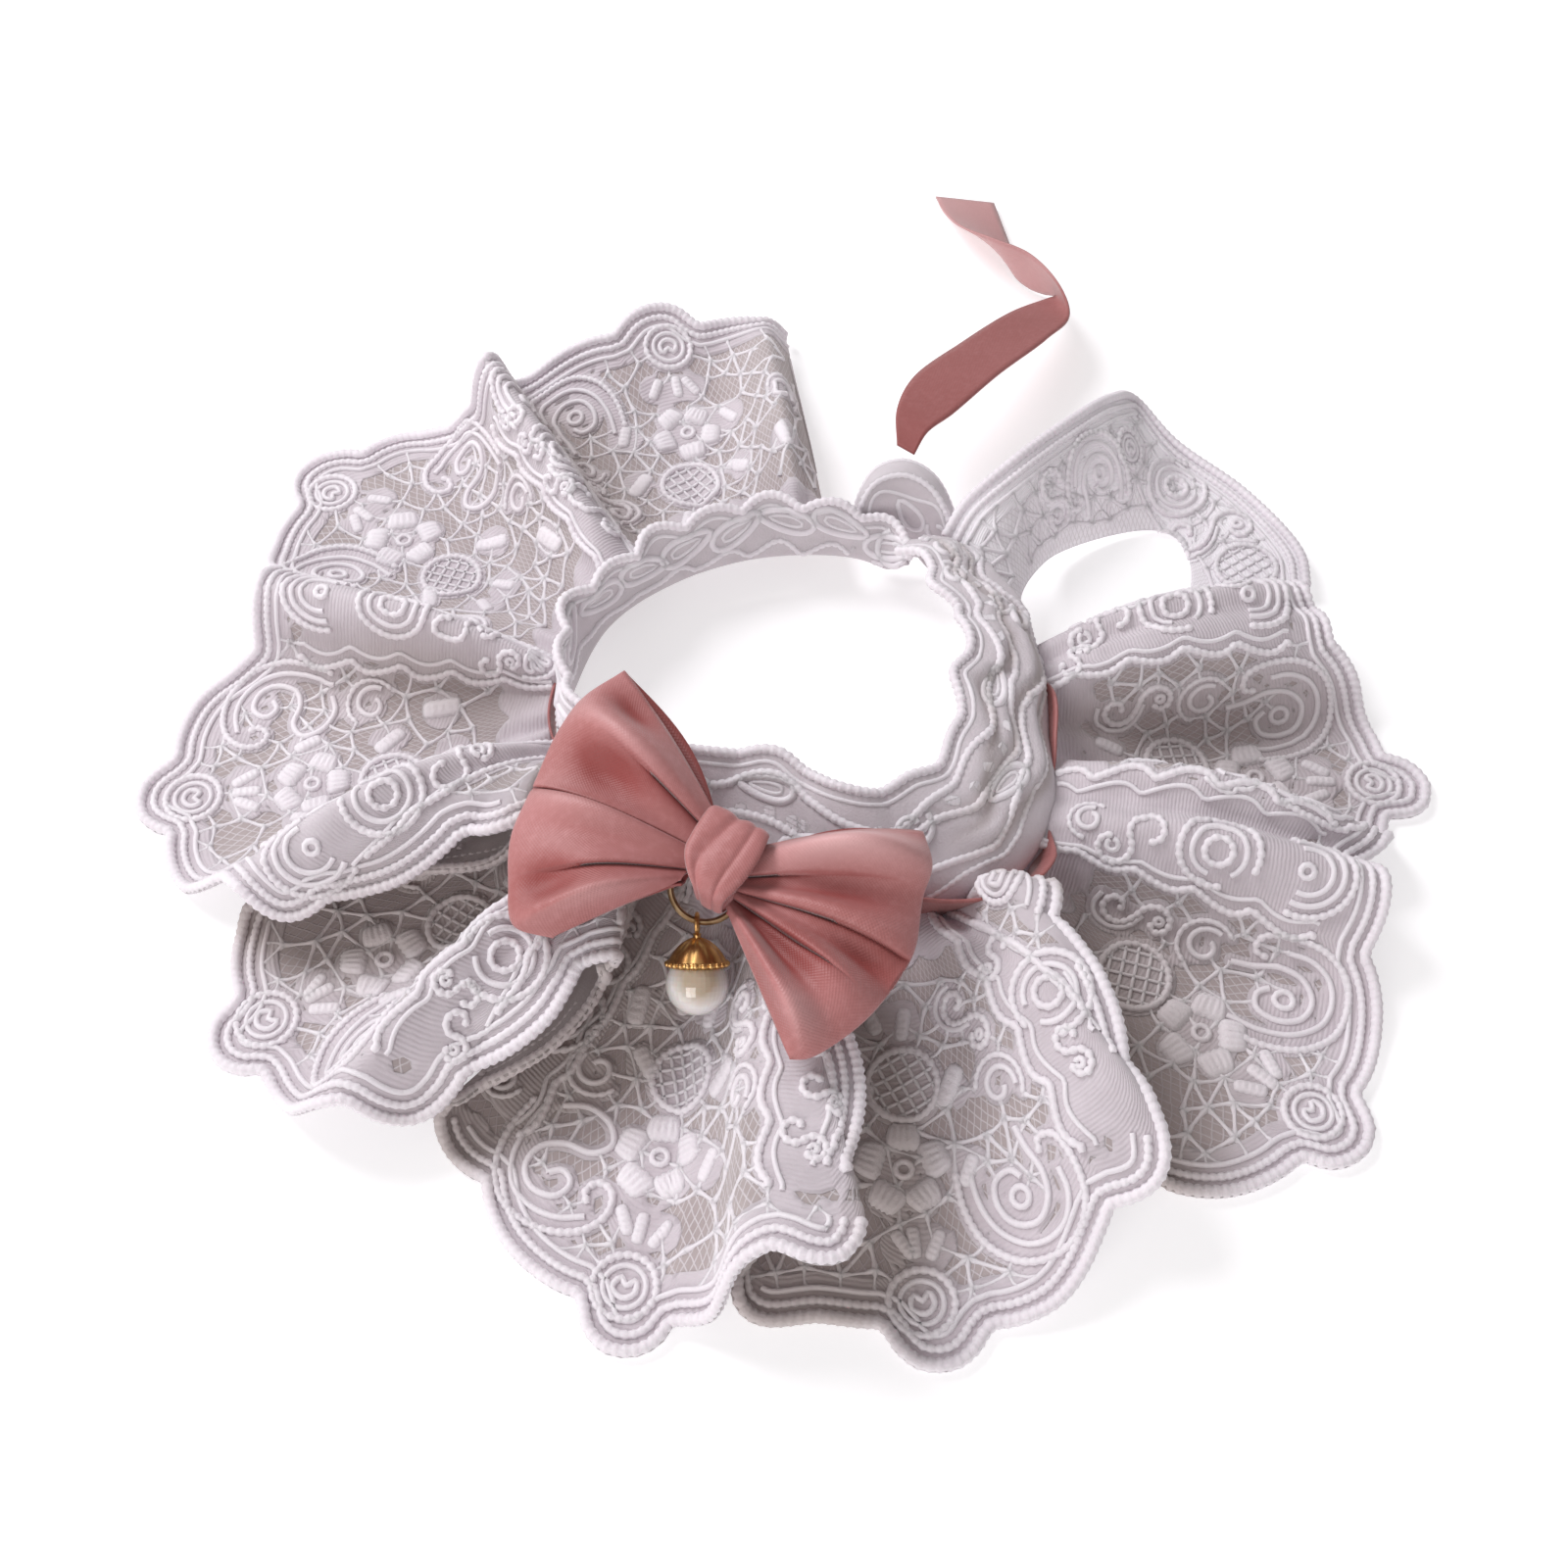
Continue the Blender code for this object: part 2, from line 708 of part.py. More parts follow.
def cap_mesh():
    """The acorn cap: a turned wall over the pearl, with a stalk and a beaded rim."""
    inner = PEARL_RADIUS + CAP_GAP
    outer = inner + CAP_WALL
    low = math.asin(CAP_RIM_ABOVE / outer)
    profile = [(0.0, outer + CAP_STALK), (0.55, outer + CAP_STALK), (0.7, outer + 0.05)]
    steps = 9
    for k in range(1, steps + 1):
        angle = math.radians(80) + (low - math.radians(80)) * k / steps
        profile.append((outer * math.cos(angle), outer * math.sin(angle)))
    low_inner = math.asin((CAP_RIM_ABOVE + 0.1) / inner)
    for k in range(steps + 1):
        angle = low_inner + (math.radians(90) - low_inner) * k / steps
        profile.append((inner * math.cos(angle), inner * math.sin(angle)))
    made = bmesh.new()
    line = [made.verts.new((x * MM, 0.0, z * MM)) for x, z in profile]
    line[-1].co.x = 0.0
    edges = [made.edges.new(pair) for pair in zip(line, line[1:])]
    bmesh.ops.spin(
        made,
        geom=line + edges,
        cent=(0, 0, 0),
        axis=(0, 0, 1),
        angle=math.tau,
        steps=40,
        use_merge=True,
    )
    bmesh.ops.remove_doubles(made, verts=made.verts, dist=0.00001)
    bmesh.ops.recalc_face_normals(made, faces=made.faces)
    mesh = bpy.data.meshes.new("acorn_cap")
    made.to_mesh(mesh)
    made.free()
    mesh.shade_smooth()
    return mesh


def drop(gold, pearl_kind, group, ring):
    frame = drop_frame()
    pivot = empty_at("drop_pivot", placed(frame), group, ring)
    eye = torus("charm_eye", EYE_RADIUS, EYE_WIRE, 24, 8)
    eye.data.materials.append(gold)
    move_to(eye, group)
    eye.parent = pivot
    eye.matrix_world = placed(
        frame @ Matrix.Translation((0, -EYE_DROP, 0)) @ Matrix.Rotation(math.pi / 2, 4, "Y")
    )
    axis = frame @ Matrix.Translation((0, -PEARL_DROP, 0)) @ Matrix.Rotation(-math.pi / 2, 4, "X")
    cap = add("acorn_cap", cap_mesh(), gold, group)
    cap.parent = pivot
    cap.matrix_world = placed(axis)
    bpy.ops.mesh.primitive_uv_sphere_add(segments=40, ring_count=20, radius=PEARL_RADIUS * MM)
    pearl = bpy.context.object
    pearl.name = "pearl"
    pearl.data.name = "pearl"
    pearl.data.materials.append(pearl_kind)
    pearl.data.shade_smooth()
    move_to(pearl, group)
    pearl.parent = pivot
    pearl.matrix_world = placed(axis)


# ================================================================ the whole scarf
def main():
    clear_scene()
    group = bpy.data.collections.new("pet_scarf")
    bpy.context.scene.collection.children.link(group)

    lace = material("white_lace", (0.82, 0.79, 0.83), 0.75)
    satin = material("pink_satin", (0.62, 0.22, 0.20), 0.55)
    gold = material("gold", (0.80, 0.52, 0.18), 0.22, 1.0)
    pearl_kind = material("pearl", (0.88, 0.85, 0.80), 0.18)

    cloth("lace_ruffle", ruffle_grid(), LACE_WALL, lace, group, 0.0)
    cloth("lace_frill", frill_grid(), LACE_WALL, lace, group, 0.0)
    cloth("lace_end_loop", end_loop_grid(), LACE_WALL, lace, group, 1.0)
    cloth("lace_end_curl", end_curl_grid(), LACE_WALL, lace, group, 0.0)
    cloth("ribbon_neck", ribbon_neck_grid(), RIBBON_WALL, satin, group, 0.0)
    cloth("ribbon_tail", tail_grid(), RIBBON_WALL, satin, group, 1.0)
    cloth("bow_left", wing_grid(LEFT_WING), RIBBON_WALL, satin, group, 0.0)
    cloth("bow_right", wing_grid(RIGHT_WING), RIBBON_WALL, satin, group, 0.0)
    bow_knot(satin, group)
    ring = jump_ring(gold, group)
    drop(gold, pearl_kind, group, ring)


main()
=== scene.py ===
"""The looks of the pet scarf: guipure lace, satin ribbon, bow, gold ring and pearl drop.

Sizes are in millimetres and are turned into metres when a mesh is made.  Azimuths are in
degrees round the neck centre, counter-clockwise seen from above, with 270 at the front.
"""

import math
import random

import bmesh
import bpy
import numpy as np
from mathutils import Matrix, Vector, noise
from mathutils.bvhtree import BVHTree
from mathutils.kdtree import KDTree


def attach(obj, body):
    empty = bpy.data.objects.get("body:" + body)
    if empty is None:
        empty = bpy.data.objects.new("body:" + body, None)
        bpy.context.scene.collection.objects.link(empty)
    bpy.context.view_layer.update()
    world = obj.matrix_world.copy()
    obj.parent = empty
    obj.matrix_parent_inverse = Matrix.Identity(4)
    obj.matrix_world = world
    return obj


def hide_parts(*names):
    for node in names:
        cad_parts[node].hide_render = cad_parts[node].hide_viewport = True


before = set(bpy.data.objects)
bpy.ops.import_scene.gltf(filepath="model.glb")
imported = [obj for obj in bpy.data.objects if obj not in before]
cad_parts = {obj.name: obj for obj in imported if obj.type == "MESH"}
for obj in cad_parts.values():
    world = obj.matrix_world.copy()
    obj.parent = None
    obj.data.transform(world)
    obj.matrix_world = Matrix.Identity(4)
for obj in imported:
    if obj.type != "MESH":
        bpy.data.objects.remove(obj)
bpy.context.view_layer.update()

MM = 0.001
NECK_CENTRE = (2.1, -18.0)
LACE_WALL = 1.2

# ---------------------------------------------------------------- the collar's form
# azimuth, reach of the ribbon's line
NECK_LINE = (
    (58, 36.5), (70, 37), (90, 36), (112, 36), (132, 37), (152, 39), (172, 40), (192, 42),
    (215, 40), (240, 37), (265, 37), (284, 43), (300, 49), (312, 51), (326, 48), (343, 42.5),
    (362, 40), (385, 41), (404, 41.5), (414, 39),
)
RUFFLE_OUT = -0.2

# One row for each fold or flat of the ruffle, from the cut end round to the back right.
# name, azimuth at the neck, height at the neck, azimuth of the hem, reach of the hem,
# height of the hem, height half way out
SECTIONS = (
    ("cut_end", 80, 9, 91, 101, 1, 6),
    ("a_ridge", 90, 12, 93.5, 95, 8, 15),
    ("a_side", 99, 10, 99, 95, 9, 5),
    ("a_tip", 110, 8, 106, 96, 12, 2),
    ("a_far", 122, 8, 115, 96, 10, 2),
    ("b_foot", 132, 9, 123, 98, 3, 4),
    ("b_crest", 143, 14, 131, 86, 24, 22),
    ("b_back", 150, 10, 134, 95, 4, 8),
    ("c_side", 155, 8, 139, 105, 0, 1),
    ("c_tip", 162, 8, 147, 110, 0, 0),
    ("c_far", 170, 9, 159, 102, 2, 5),
    ("d_crest", 177, 13, 168, 94, 14, 18),
    ("d_foot", 181, 9, 173, 97, 3, 5),
    ("f_side", 185, 8, 179, 103, 0, 0),
    ("f_tip", 191, 8, 189, 108, 0, 0),
    ("f_far", 197, 9, 199, 103, 2, 7),
    ("g_crest", 200.5, 12, 205, 95, 12, 23),
    ("g_corner", 203, 12, 209, 90, 9, 21),
    ("h_side", 212, 8, 204.5, 94, 2.6, 3),
    ("h_under", 214.5, 8, 207, 97, 0, 0.5),
    ("h_low", 217, 7, 211.5, 102, 0, 0),
    ("h_tip", 220, 7, 216, 106, 0, 0),
    ("h_far", 226, 9, 224, 104, 2, 7),
    ("i_crest", 227, 11, 229, 102, 11, 21),
    ("i_corner", 229.5, 11, 234, 95, 8, 19),
    ("j_side", 240, 8, 235.5, 91, 2.6, 3),
    ("j_under", 242.5, 8, 238, 94, 0, 0.5),
    ("j_low", 245, 7, 242, 97, 0, 0),
    ("k_side", 247, 7, 248, 102, 0, 0),
    ("k_tip", 252, 7, 257, 109, 0, 0),
    ("k_far", 257, 8, 263, 106, 4, 7),
    ("l_rise", 261, 11, 266, 102, 17, 15),
    ("l_corner", 265, 12, 273, 102, 19, 17),
    ("m_side", 275.5, 8, 265, 102, 2.6, 3),
    ("m_under", 278, 8, 267, 104, 0, 0.5),
    ("m_low", 280.5, 7, 271.5, 103, 0, 0),
    ("m_tip", 285, 7, 280, 110, 0, 0),
    ("m_far", 291, 7, 288, 108, 2, 5),
    ("n_rise", 294, 6.5, 294, 103, 9, 14),
    ("n_corner", 297.5, 6, 299, 101, 14, 20),
    ("o_side", 308, 5, 301, 98, 2.6, 3),
    ("o_under", 310, 5.5, 303, 101, 0, 0.5),
    ("o_low", 312, 6, 307.5, 106, 0, 0),
    ("o_tip", 314, 7, 316, 112, 0, 0),
    ("o_far", 318, 8, 326, 105, 2, 3),
    ("o_rise", 320, 10, 331, 101, 7, 11),
    ("p_crest", 323, 12, 336, 98, 13, 18),
    ("p_back", 329, 10.5, 338.6, 95.5, 8, 14.5),
    ("q_crest", 336, 12, 342, 97, 9, 18.5),
    ("q_side", 342, 8, 346.5, 99, 0, 2),
    ("q_tip", 347, 7, 352, 104, 0, 0),
    ("q_far", 352, 8, 360, 96, 2, 3),
    ("r_rise", 354, 10, 363, 94, 8, 12),
    ("r_crest", 358, 12, 367.5, 91, 13, 18),
    ("r_back", 363.5, 11, 369.9, 89.5, 12, 17.5),
    ("s_crest", 369, 12, 372.5, 89, 14, 19),
    ("s_foot", 374, 8, 376.5, 87, 0, 1),
)

# Where the hem of a flap runs back towards the neck over the next flat.
# section, azimuth, reach and height of the hem's inner end, extra height half way along it
LAPS = {
    "g_corner": (215, 51, 19, 0),
    "i_corner": (243, 62, 18, 0),
    "l_corner": (276, 58, 15, 0),
    "n_corner": (306, 57, 20, 3),
}
LAP_OUTER_SHARES = (0.33, 0.66, 1.0)
LAP_RETURN_SHARES = (0.06, 0.38, 0.72)
LAP_RETURN_HEIGHT = 8.0
LAP_RETURN_LIFT = 2.4
LAP_RETURN_NECK = 2.0

# The hem's scallops: one lace repeat from one tip to the next.
REPEAT = 80.0
# The plain field over each half repeat: half its width in repeats, where it starts
FIELD_HALF = 0.13
FIELD_FROM = 10.0
BEHIND_CREST = 0.06
# start and end as shares of a repeat, depth
LOBES = (
    (-0.09, 0.09, 4.5),
    (0.09, 0.38, 3.0),
    (0.38, 0.62, 2.4),
    (0.62, 0.91, 3.0),
)

# azimuth, how far its top leans out of the neck line, height of its top, how far its
# shoulder stands out half way up
FRILL = (
    (54.5, 0, 13, -1.6), (68, 1.5, 15, -1.4), (77, 2, 17, -1.2), (92, 2.5, 17, -1.2),
    (112, 2.5, 17, -1.2), (134, 2, 17, -1.2),
    (156, 1, 18, -1.2), (176, 0, 19, -1.4), (196, -3, 20, -1.8), (216, -7, 21, -2),
    (240, -9, 22, -2), (266, -10, 22, -1.5), (288, -11, 22, -1), (306, -15.5, 21, -1.6),
    (322, -16, 21, -0.8), (340, -13, 22, 0.2), (362, -11, 22, 0.2), (384, -10, 21, 0.4),
    (398, -9, 20, 0.2), (413.6, -6.5, 18, 0),
)
# Its layers' edges where it is bunched: distance from the top edge, swing, wave in repeats,
# phase
FRILL_LAYERS = ((5.6, 1.5, 2.7, 0.4), (10.2, 1.7, 3.3, 2.0), (15.0, 1.3, 2.5, 1.2))
FRILL_IN = 2.4
FRILL_FOOT = 7.0
# azimuth, height of the ribbon's upper edge, how far it leans out, height of its lower edge
RIBBON_EDGE = (
    (64, 10, 0, 6), (200, 11, 0, 6), (284, 13, 0, 6), (292, 15.5, 3.0, 3), (306, 15.5, 4.8, 2.5),
    (317, 14.5, 4.6, 3.2), (323, 11.5, 1.5, 5), (328, 10, 0.2, 6), (338, 14.5, 1.4, 5.5),
    (352, 15.5, 2.4, 5.5), (362, 12.5, 0.6, 6), (398, 11.5, 0, 6),
)

# The strip's last pleat goes out to the back right, turns, and comes back on the outside.
# outer edge: azimuth, reach, height; inner edge: azimuth, reach, height
END_LOOP = (
    (50, 40.5, 14, 20, 42, 9),
    (51, 47, 16.5, 29, 46, 8),
    (49, 57, 20, 37, 57, 3),
    (48, 72, 20, 38, 66, 1),
    (48, 88, 16, 36, 77, 0),
    (48, 98, 9, 33.5, 83, 0),
    (42, 99, 4, 31, 85, 0),
    (32, 102, 2, 26, 82, 0),
    (22, 102, 2, 20, 77, 0),
    (17.5, 99, 2, 17.5, 77, 0),
)
# The curl of the strip's other end, over the foot of the ribbon tail.
# x, y and z along its arch, beside the neck centre
END_CURL = (
    (10.6, 35.5, 8), (11.2, 39.2, 13.5), (14.4, 42.9, 17.9), (19.6, 44, 19),
    (24.6, 42.2, 17.4), (28.2, 38, 13), (29.4, 33.6, 8),
)
END_CURL_WIDTH = 5.4
# The two ends of the line on which the curl's front comes down.
CURL_FOOT = ((13.6, 37.8, 3.4), (29.6, 35.6, 3.4))

# x, y and z of its middle beside the neck centre, azimuth and tilt of the line across it
TAIL = (
    (20.3, 50.5, 16.5, -40, 0),
    (21.8, 58, 16.5, -50, 5),
    (26, 66, 15.5, -57, 5),
    (36, 79, 13.5, -60, 8),
    (47, 92.5, 10.5, -62, 12),
    (54, 102, 7.5, -75, 25),
    (54.5, 109.5, 6, -100, 50),
    (49.5, 115.5, 5.5, -118, 72),
    (44.5, 120.5, 5.5, -160, 60),
    (41.5, 128, 4.5, -178, 30),
    (39.5, 137.5, 2.5, -187, 10),
    (38.3, 147, 0.6, -190, 0),
)
RIBBON_WIDTH = 13.0
TAIL_ROOT_WIDTH = 4.0

BOW_AT = (-10.8, -46.4, 25.6)
BOW_TURN = -30.0
BOW_TILT = 10.0
# One row for each ray of a wing, top to bottom, in the bow's plane.
# height at the knot, reach and height at the outer fold, lift of the outer fold, puff
LEFT_WING = (
    (5.2, -29.8, 20.0, 1.0, 0.9),
    (4.0, -32.4, 13.5, 1.0, 1.2),
    (2.5, -33.0, 6.0, 0.5, 1.15),
    (0.5, -31.6, -2.2, 0.0, 0.6),
    (-0.7, -31.0, -5.2, 0.0, 1.0),
    (-1.8, -29.7, -11.5, 0.0, 0.75),
    (-3.2, -26.0, -18.0, 0.0, 1.1),
    (-4.6, -21.6, -23.2, 0.0, 1.1),
    (-5.6, -15.6, -22.0, 0.0, 0.8),
)
RIGHT_WING = (
    (5.2, 22.9, 18.8, 1.0, 1.2),
    (3.2, 26.6, 14.5, 1.0, 1.5),
    (-0.8, 27.6, 9.9, 0.5, 0.7),
    (-2.5, 30.4, 2.2, 0.5, 1.1),
    (-3.2, 30.6, -3.5, 1.0, 0.6),
    (-4.0, 29.8, -10.0, 2.0, 1.2),
    (-4.8, 28.0, -15.5, 2.5, 0.8),
    (-5.4, 25.6, -20.0, 3.0, 1.2),
    (-6.0, 23.4, -21.4, 3.0, 0.9),
)
# Sharp creases of a wing: place among its rays, the side that drops (1 the later rays, -1
# the earlier ones), depth, width in rays, where along the ray it starts to fade and ends
LEFT_CREASES = (
    (1.52, 1, 2.0, 0.6, 0.35, 0.80),
    (3.30, 1, 1.7, 0.22, 1.3, 2.0),
    (5.92, 1, 1.7, 0.5, 0.45, 0.92),
)
RIGHT_CREASES = (
    (1.72, 1, 1.5, 0.5, 0.45, 0.95),
    (3.28, 1, 1.7, 0.45, 1.2, 2.0),
    (4.80, 1, 2.4, 0.8, 0.45, 0.90),
)
# Soft dents: place among the rays, share of the ray, depth, size in rays and along the ray
LEFT_DENTS = (
    (0.6, 0.74, 2.3, 0.4, 0.15), (1.35, 0.66, -1.0, 0.3, 0.3), (2.2, 0.64, 3.0, 0.5, 0.2),
    (3.9, 0.7, -0.7, 0.5, 0.3), (6.3, 0.76, 2.7, 0.6, 0.18), (7.2, 0.55, -1.0, 0.4, 0.3),
)
RIGHT_DENTS = (
    (0.9, 0.5, -1.8, 0.7, 0.45), (2.4, 0.55, 1.3, 0.4, 0.3), (4.1, 0.8, 1.7, 0.4, 0.2),
    (5.5, 0.42, 2.8, 0.8, 0.22), (6.7, 0.76, -1.0, 0.7, 0.16), (7.6, 0.5, 0.9, 0.4, 0.3),
)
WING_GATHER = 4.0
MOUTH_OPEN = 2.9
LOWER_TUCK = 3.4
KNOT_HALF = (5.2, 6.4, 3.7)
KNOT_LIFT = 2.3
ROOT_LIFT = 1.2
WING_PUFF = 4.2
WING_BACK = 2.6

# The ring, and the drop that hangs from it down the slope of the ruffle.
CHARM_SLOPE = 36.0
RING_AT = (-13.7, -46.8, 20.4)
RING_RADIUS = 5.3
DROP_ANGLE = -104.0
PEARL_RADIUS = 4.7
PEARL_DROP = 9.4
CAP_OUTER = 5.0
CAP_RIM_RISE = 31.0
CAP_TOP = 6.9

# ---------------------------------------------------------------- the lace's own sizes
COLUMN_STEP = 1.5
ROWS = 52
SHEET_WALL = 0.45
CORD_LIFT = 0.3

# How far the close ground reaches from the hem's cords, and from the other cords.
GROUND_FILLS = (2.6, 1.25)
# How thick the shells of the scene's cloths are; the frill's is as thick as the ribbon's.
VEIL_WALL = 0.2
RIBBON_WALL = 0.4
BOW_WALL = 0.5
# A shape has room at this share of its reach and its neighbour's together, and where the hem
# is this share of its reach away and this much more.
ROOM_OVERLAP = 0.80
HEM_SHARE = 0.75
HEM_GAP = 3.0
# Cords that follow the hem.  distance from the hem, radius, spacing of the satin bumps
# (0 for a plain cord), how strong they are
HEM_CORDS = (
    (0.8, 0.95, 1.35, 0.2),
    (3.0, 0.62, 1.25, 0.26),
    (4.9, 0.45, 0.0, 0.0),
)
FRILL_REPEAT = 11.5


# ================================================================ curves and surfaces
def polar(azimuth, reach, height):
    """A point from its azimuth and reach round the neck centre."""
    turn = math.radians(azimuth)
    return from_neck(reach * math.cos(turn), reach * math.sin(turn), height)


def from_neck(x, y, height):
    return Vector((NECK_CENTRE[0] + x, NECK_CENTRE[1] + y, height))


def looked_up(table, at):
    """The other columns of a table at a value of its first, on a smooth curve."""
    keys = [row[0] for row in table]
    last = len(table) - 1
    at = min(max(at, keys[0]), keys[-1])
    i = max(k for k in range(last) if keys[k] <= at)
    share = (at - keys[i]) / (keys[i + 1] - keys[i])
    found = []
    for column in range(1, len(table[0])):
        values = [table[min(max(k, 0), last)][column] for k in (i - 1, i, i + 1, i + 2)]
        found.append(through(values, share))
    return found


def through(values, share):
    """Catmull-Rom between the second and the third of four values."""
    a, b, c, d = values
    return b + 0.5 * share * (
        c - a + share * (2 * a - 5 * b + 4 * c - d + share * (3 * (b - c) + d - a))
    )


def chain(rows, per_gap, measure, straight=()):
    """Rows of vectors with more rows between them, on centripetal Catmull-Rom curves."""
    last = len(rows) - 1
    spacing = [
        max((rows[k + 1][measure] - rows[k][measure]).length, 0.5) ** 0.5 for k in range(last)
    ]
    made = []
    for i in range(last):
        here = spacing[i]
        before = spacing[max(i - 1, 0)]
        after = spacing[min(i + 1, last - 1)]
        a = rows[max(i - 1, 0)]
        b = rows[i]
        c = rows[i + 1]
        d = rows[min(i + 2, last)]
        for step in range(per_gap + (i == last - 1)):
            share = step / per_gap
            made.append(tuple(
                b[k].lerp(c[k], share) if k in straight
                else centripetal((a[k], b[k], c[k], d[k]), before, here, after, share)
                for k in range(len(b))
            ))
    return made


def centripetal(points, before, here, after, share):
    a, b, c, d = points
    start = (c - b) / here
    end = start.copy()
    if (b - a).length > 0:
        start = (b - a) / before - (c - a) / (before + here) + (c - b) / here
    if (d - c).length > 0:
        end = (c - b) / here - (d - b) / (here + after) + (d - c) / after
    s2 = share * share
    s3 = s2 * share
    return (
        b * (2 * s3 - 3 * s2 + 1)
        + start * here * (s3 - 2 * s2 + share)
        + c * (3 * s2 - 2 * s3)
        + end * here * (s3 - s2)
    )


def lengths_along(points):
    along = [0.0]
    for a, b in zip(points, points[1:]):
        along.append(along[-1] + (b - a).length)
    return along


def evened(points, step, closed=False):
    """A line's points again, about step apart."""
    if closed:
        points = list(points) + [points[0]]
    along = lengths_along(points)
    count = max(2, round(along[-1] / step))
    made = []
    i = 0
    for k in range(count + (not closed)):
        at = along[-1] * k / count
        while i < len(points) - 2 and along[i + 1] < at:
            i += 1
        gap = max(along[i + 1] - along[i], 1e-9)
        made.append(points[i].lerp(points[i + 1], (at - along[i]) / gap))
    return made


def tree_of(places):
    """A tree that finds the nearest of these places."""
    tree = KDTree(len(places))
    for k, place in enumerate(places):
        tree.insert(place, k)
    tree.balance()
    return tree


class Cloth:
    """A cloth's middle surface: a grid of points, columns along the strip, rows across it."""

    def __init__(self, columns):
        self.points = np.array([[tuple(p) for p in line] for line in columns])
        self.columns, self.rows = self.points.shape[:2]
        flat = [Vector(p) for p in self.points.reshape(-1, 3)]
        quads = []
        for i in range(self.columns - 1):
            for j in range(self.rows - 1):
                corner = i * self.rows + j
                quads.append((corner, corner + 1, corner + self.rows + 1, corner + self.rows))
        self.quads = quads
        self.tree = BVHTree.FromPolygons(flat, quads)

    def nearest(self, point):
        """The nearest place on the cloth and the way out of it there."""
        place, normal, _, _ = self.tree.find_nearest(point)
        return place, normal

    def walk(self, place, normal, way, distance, stride=2.5):
        """The place that lies distance away along the cloth, and its normal."""
        steps = max(1, math.ceil(distance / stride))
        for _ in range(steps):
            way = (way - normal * way.dot(normal)).normalized()
            place, turned = self.nearest(place + way * (distance / steps))
            if turned.dot(normal) < 0:
                turned = -turned
            normal = turned
        return place, normal

    def edge(self, row=-1):
        return [Vector(p) for p in self.points[:, row]]


# ================================================================ the ruffle's surface
def neck_point(azimuth, outside, height):
    reach = looked_up(NECK_LINE, azimuth)[0]
    return polar(azimuth, reach + outside, height)


def section(neck, neck_height, hem, reach, hem_height, middle):
    """A section's points at the neck, half way and at the hem."""
    start = neck_point(neck, RUFFLE_OUT, neck_height)
    end = polar(hem, reach, hem_height)
    half = start.lerp(end, 0.5)
    half.z = middle
    return start, half, end


def lap_sections(row, following):
    """The sections of a flap whose hem runs inwards, and of the cloth coming back under it."""
    name, neck, neck_height, hem, reach, lift, middle = row
    _, next_neck, next_height, next_hem, next_reach, next_lift, next_middle = following
    in_hem, in_reach, in_lift, hump = LAPS[name]
    count = len(LAP_OUTER_SHARES) + len(LAP_RETURN_SHARES) + 1
    made = []
    for k, share in enumerate(LAP_OUTER_SHARES):
        made.append(section(
            neck + (next_neck - neck) * (k + 1) / count,
            neck_height,
            hem + (in_hem - hem) * share,
            reach + (in_reach - reach) * share,
            lift + (in_lift - lift) * share + 4 * hump * share * (1 - share),
            middle + (in_lift - middle) * share,
        ))
    for k, share in enumerate(LAP_RETURN_SHARES):
        low = LAP_RETURN_HEIGHT * (1 - share) ** 1.5 + LAP_RETURN_LIFT
        made.append(section(
            neck + (next_neck - neck) * (k + 1 + len(LAP_OUTER_SHARES)) / count,
            next_height + LAP_RETURN_NECK * (1 - share),
            in_hem + (next_hem - in_hem) * share,
            in_reach + (next_reach - in_reach) * share,
            low + next_lift * share,
            low + next_middle * share,
        ))
    return made


def ruffle_sections():
    """The ruffle's sections, the indices of the hem's tips, and those that lie under a flap."""
    made = []
    tips = []
    hidden = []
    for i, row in enumerate(SECTIONS):
        if row[0].endswith("tip"):
            tips.append(len(made))
        made.append(section(*row[1:]))
        if row[0] in LAPS:
            made.extend(lap_sections(row, SECTIONS[i + 1]))
            last = len(made)
            hidden.append((last - len(LAP_RETURN_SHARES), last))
    return made, tips, hidden


def repeats_along(hem, tips):
    """The number of lace repeats along the hem at each of its points, whole at each tip."""
    along = lengths_along(hem)
    counts = []
    total = 0
    for a, b in zip(tips, tips[1:]):
        repeats = max(1, round((along[b] - along[a]) / REPEAT))
        for k in range(a, b):
            counts.append(total + repeats * (along[k] - along[a]) / (along[b] - along[a]))
        total += repeats
    first = tips[0]
    last = tips[-1]
    before = [(along[k] - along[first]) / REPEAT for k in range(first)]
    after = [total + (along[k] - along[last]) / REPEAT for k in range(last, len(hem))]
    return before + counts + after


def scallop(repeats):
    """How far the hem stands out at a place along it."""
    share = (repeats + 0.09) % 1.0 - 0.09
    for start, end, depth in LOBES:
        if share < end:
            return depth * abs(math.sin(math.pi * (share - start) / (end - start))) ** 0.7
    return 0.0


def across(start, half, end, share):
    """A point on the curve through a section's three points."""
    return (
        start * ((1 - share) * (1 - 2 * share))
        + half * (4 * share * (1 - share))
        + end * (share * (2 * share - 1))
    )


def gathers(at):
    """The small tucks of the gathering at a place on the neck line."""
    turn = math.atan2(at.y - NECK_CENTRE[1], at.x - NECK_CENTRE[0])
    return 0.9 * math.sin(46 * turn + 2.1 * math.sin(7 * turn) + 1.3 * math.sin(17 * turn))


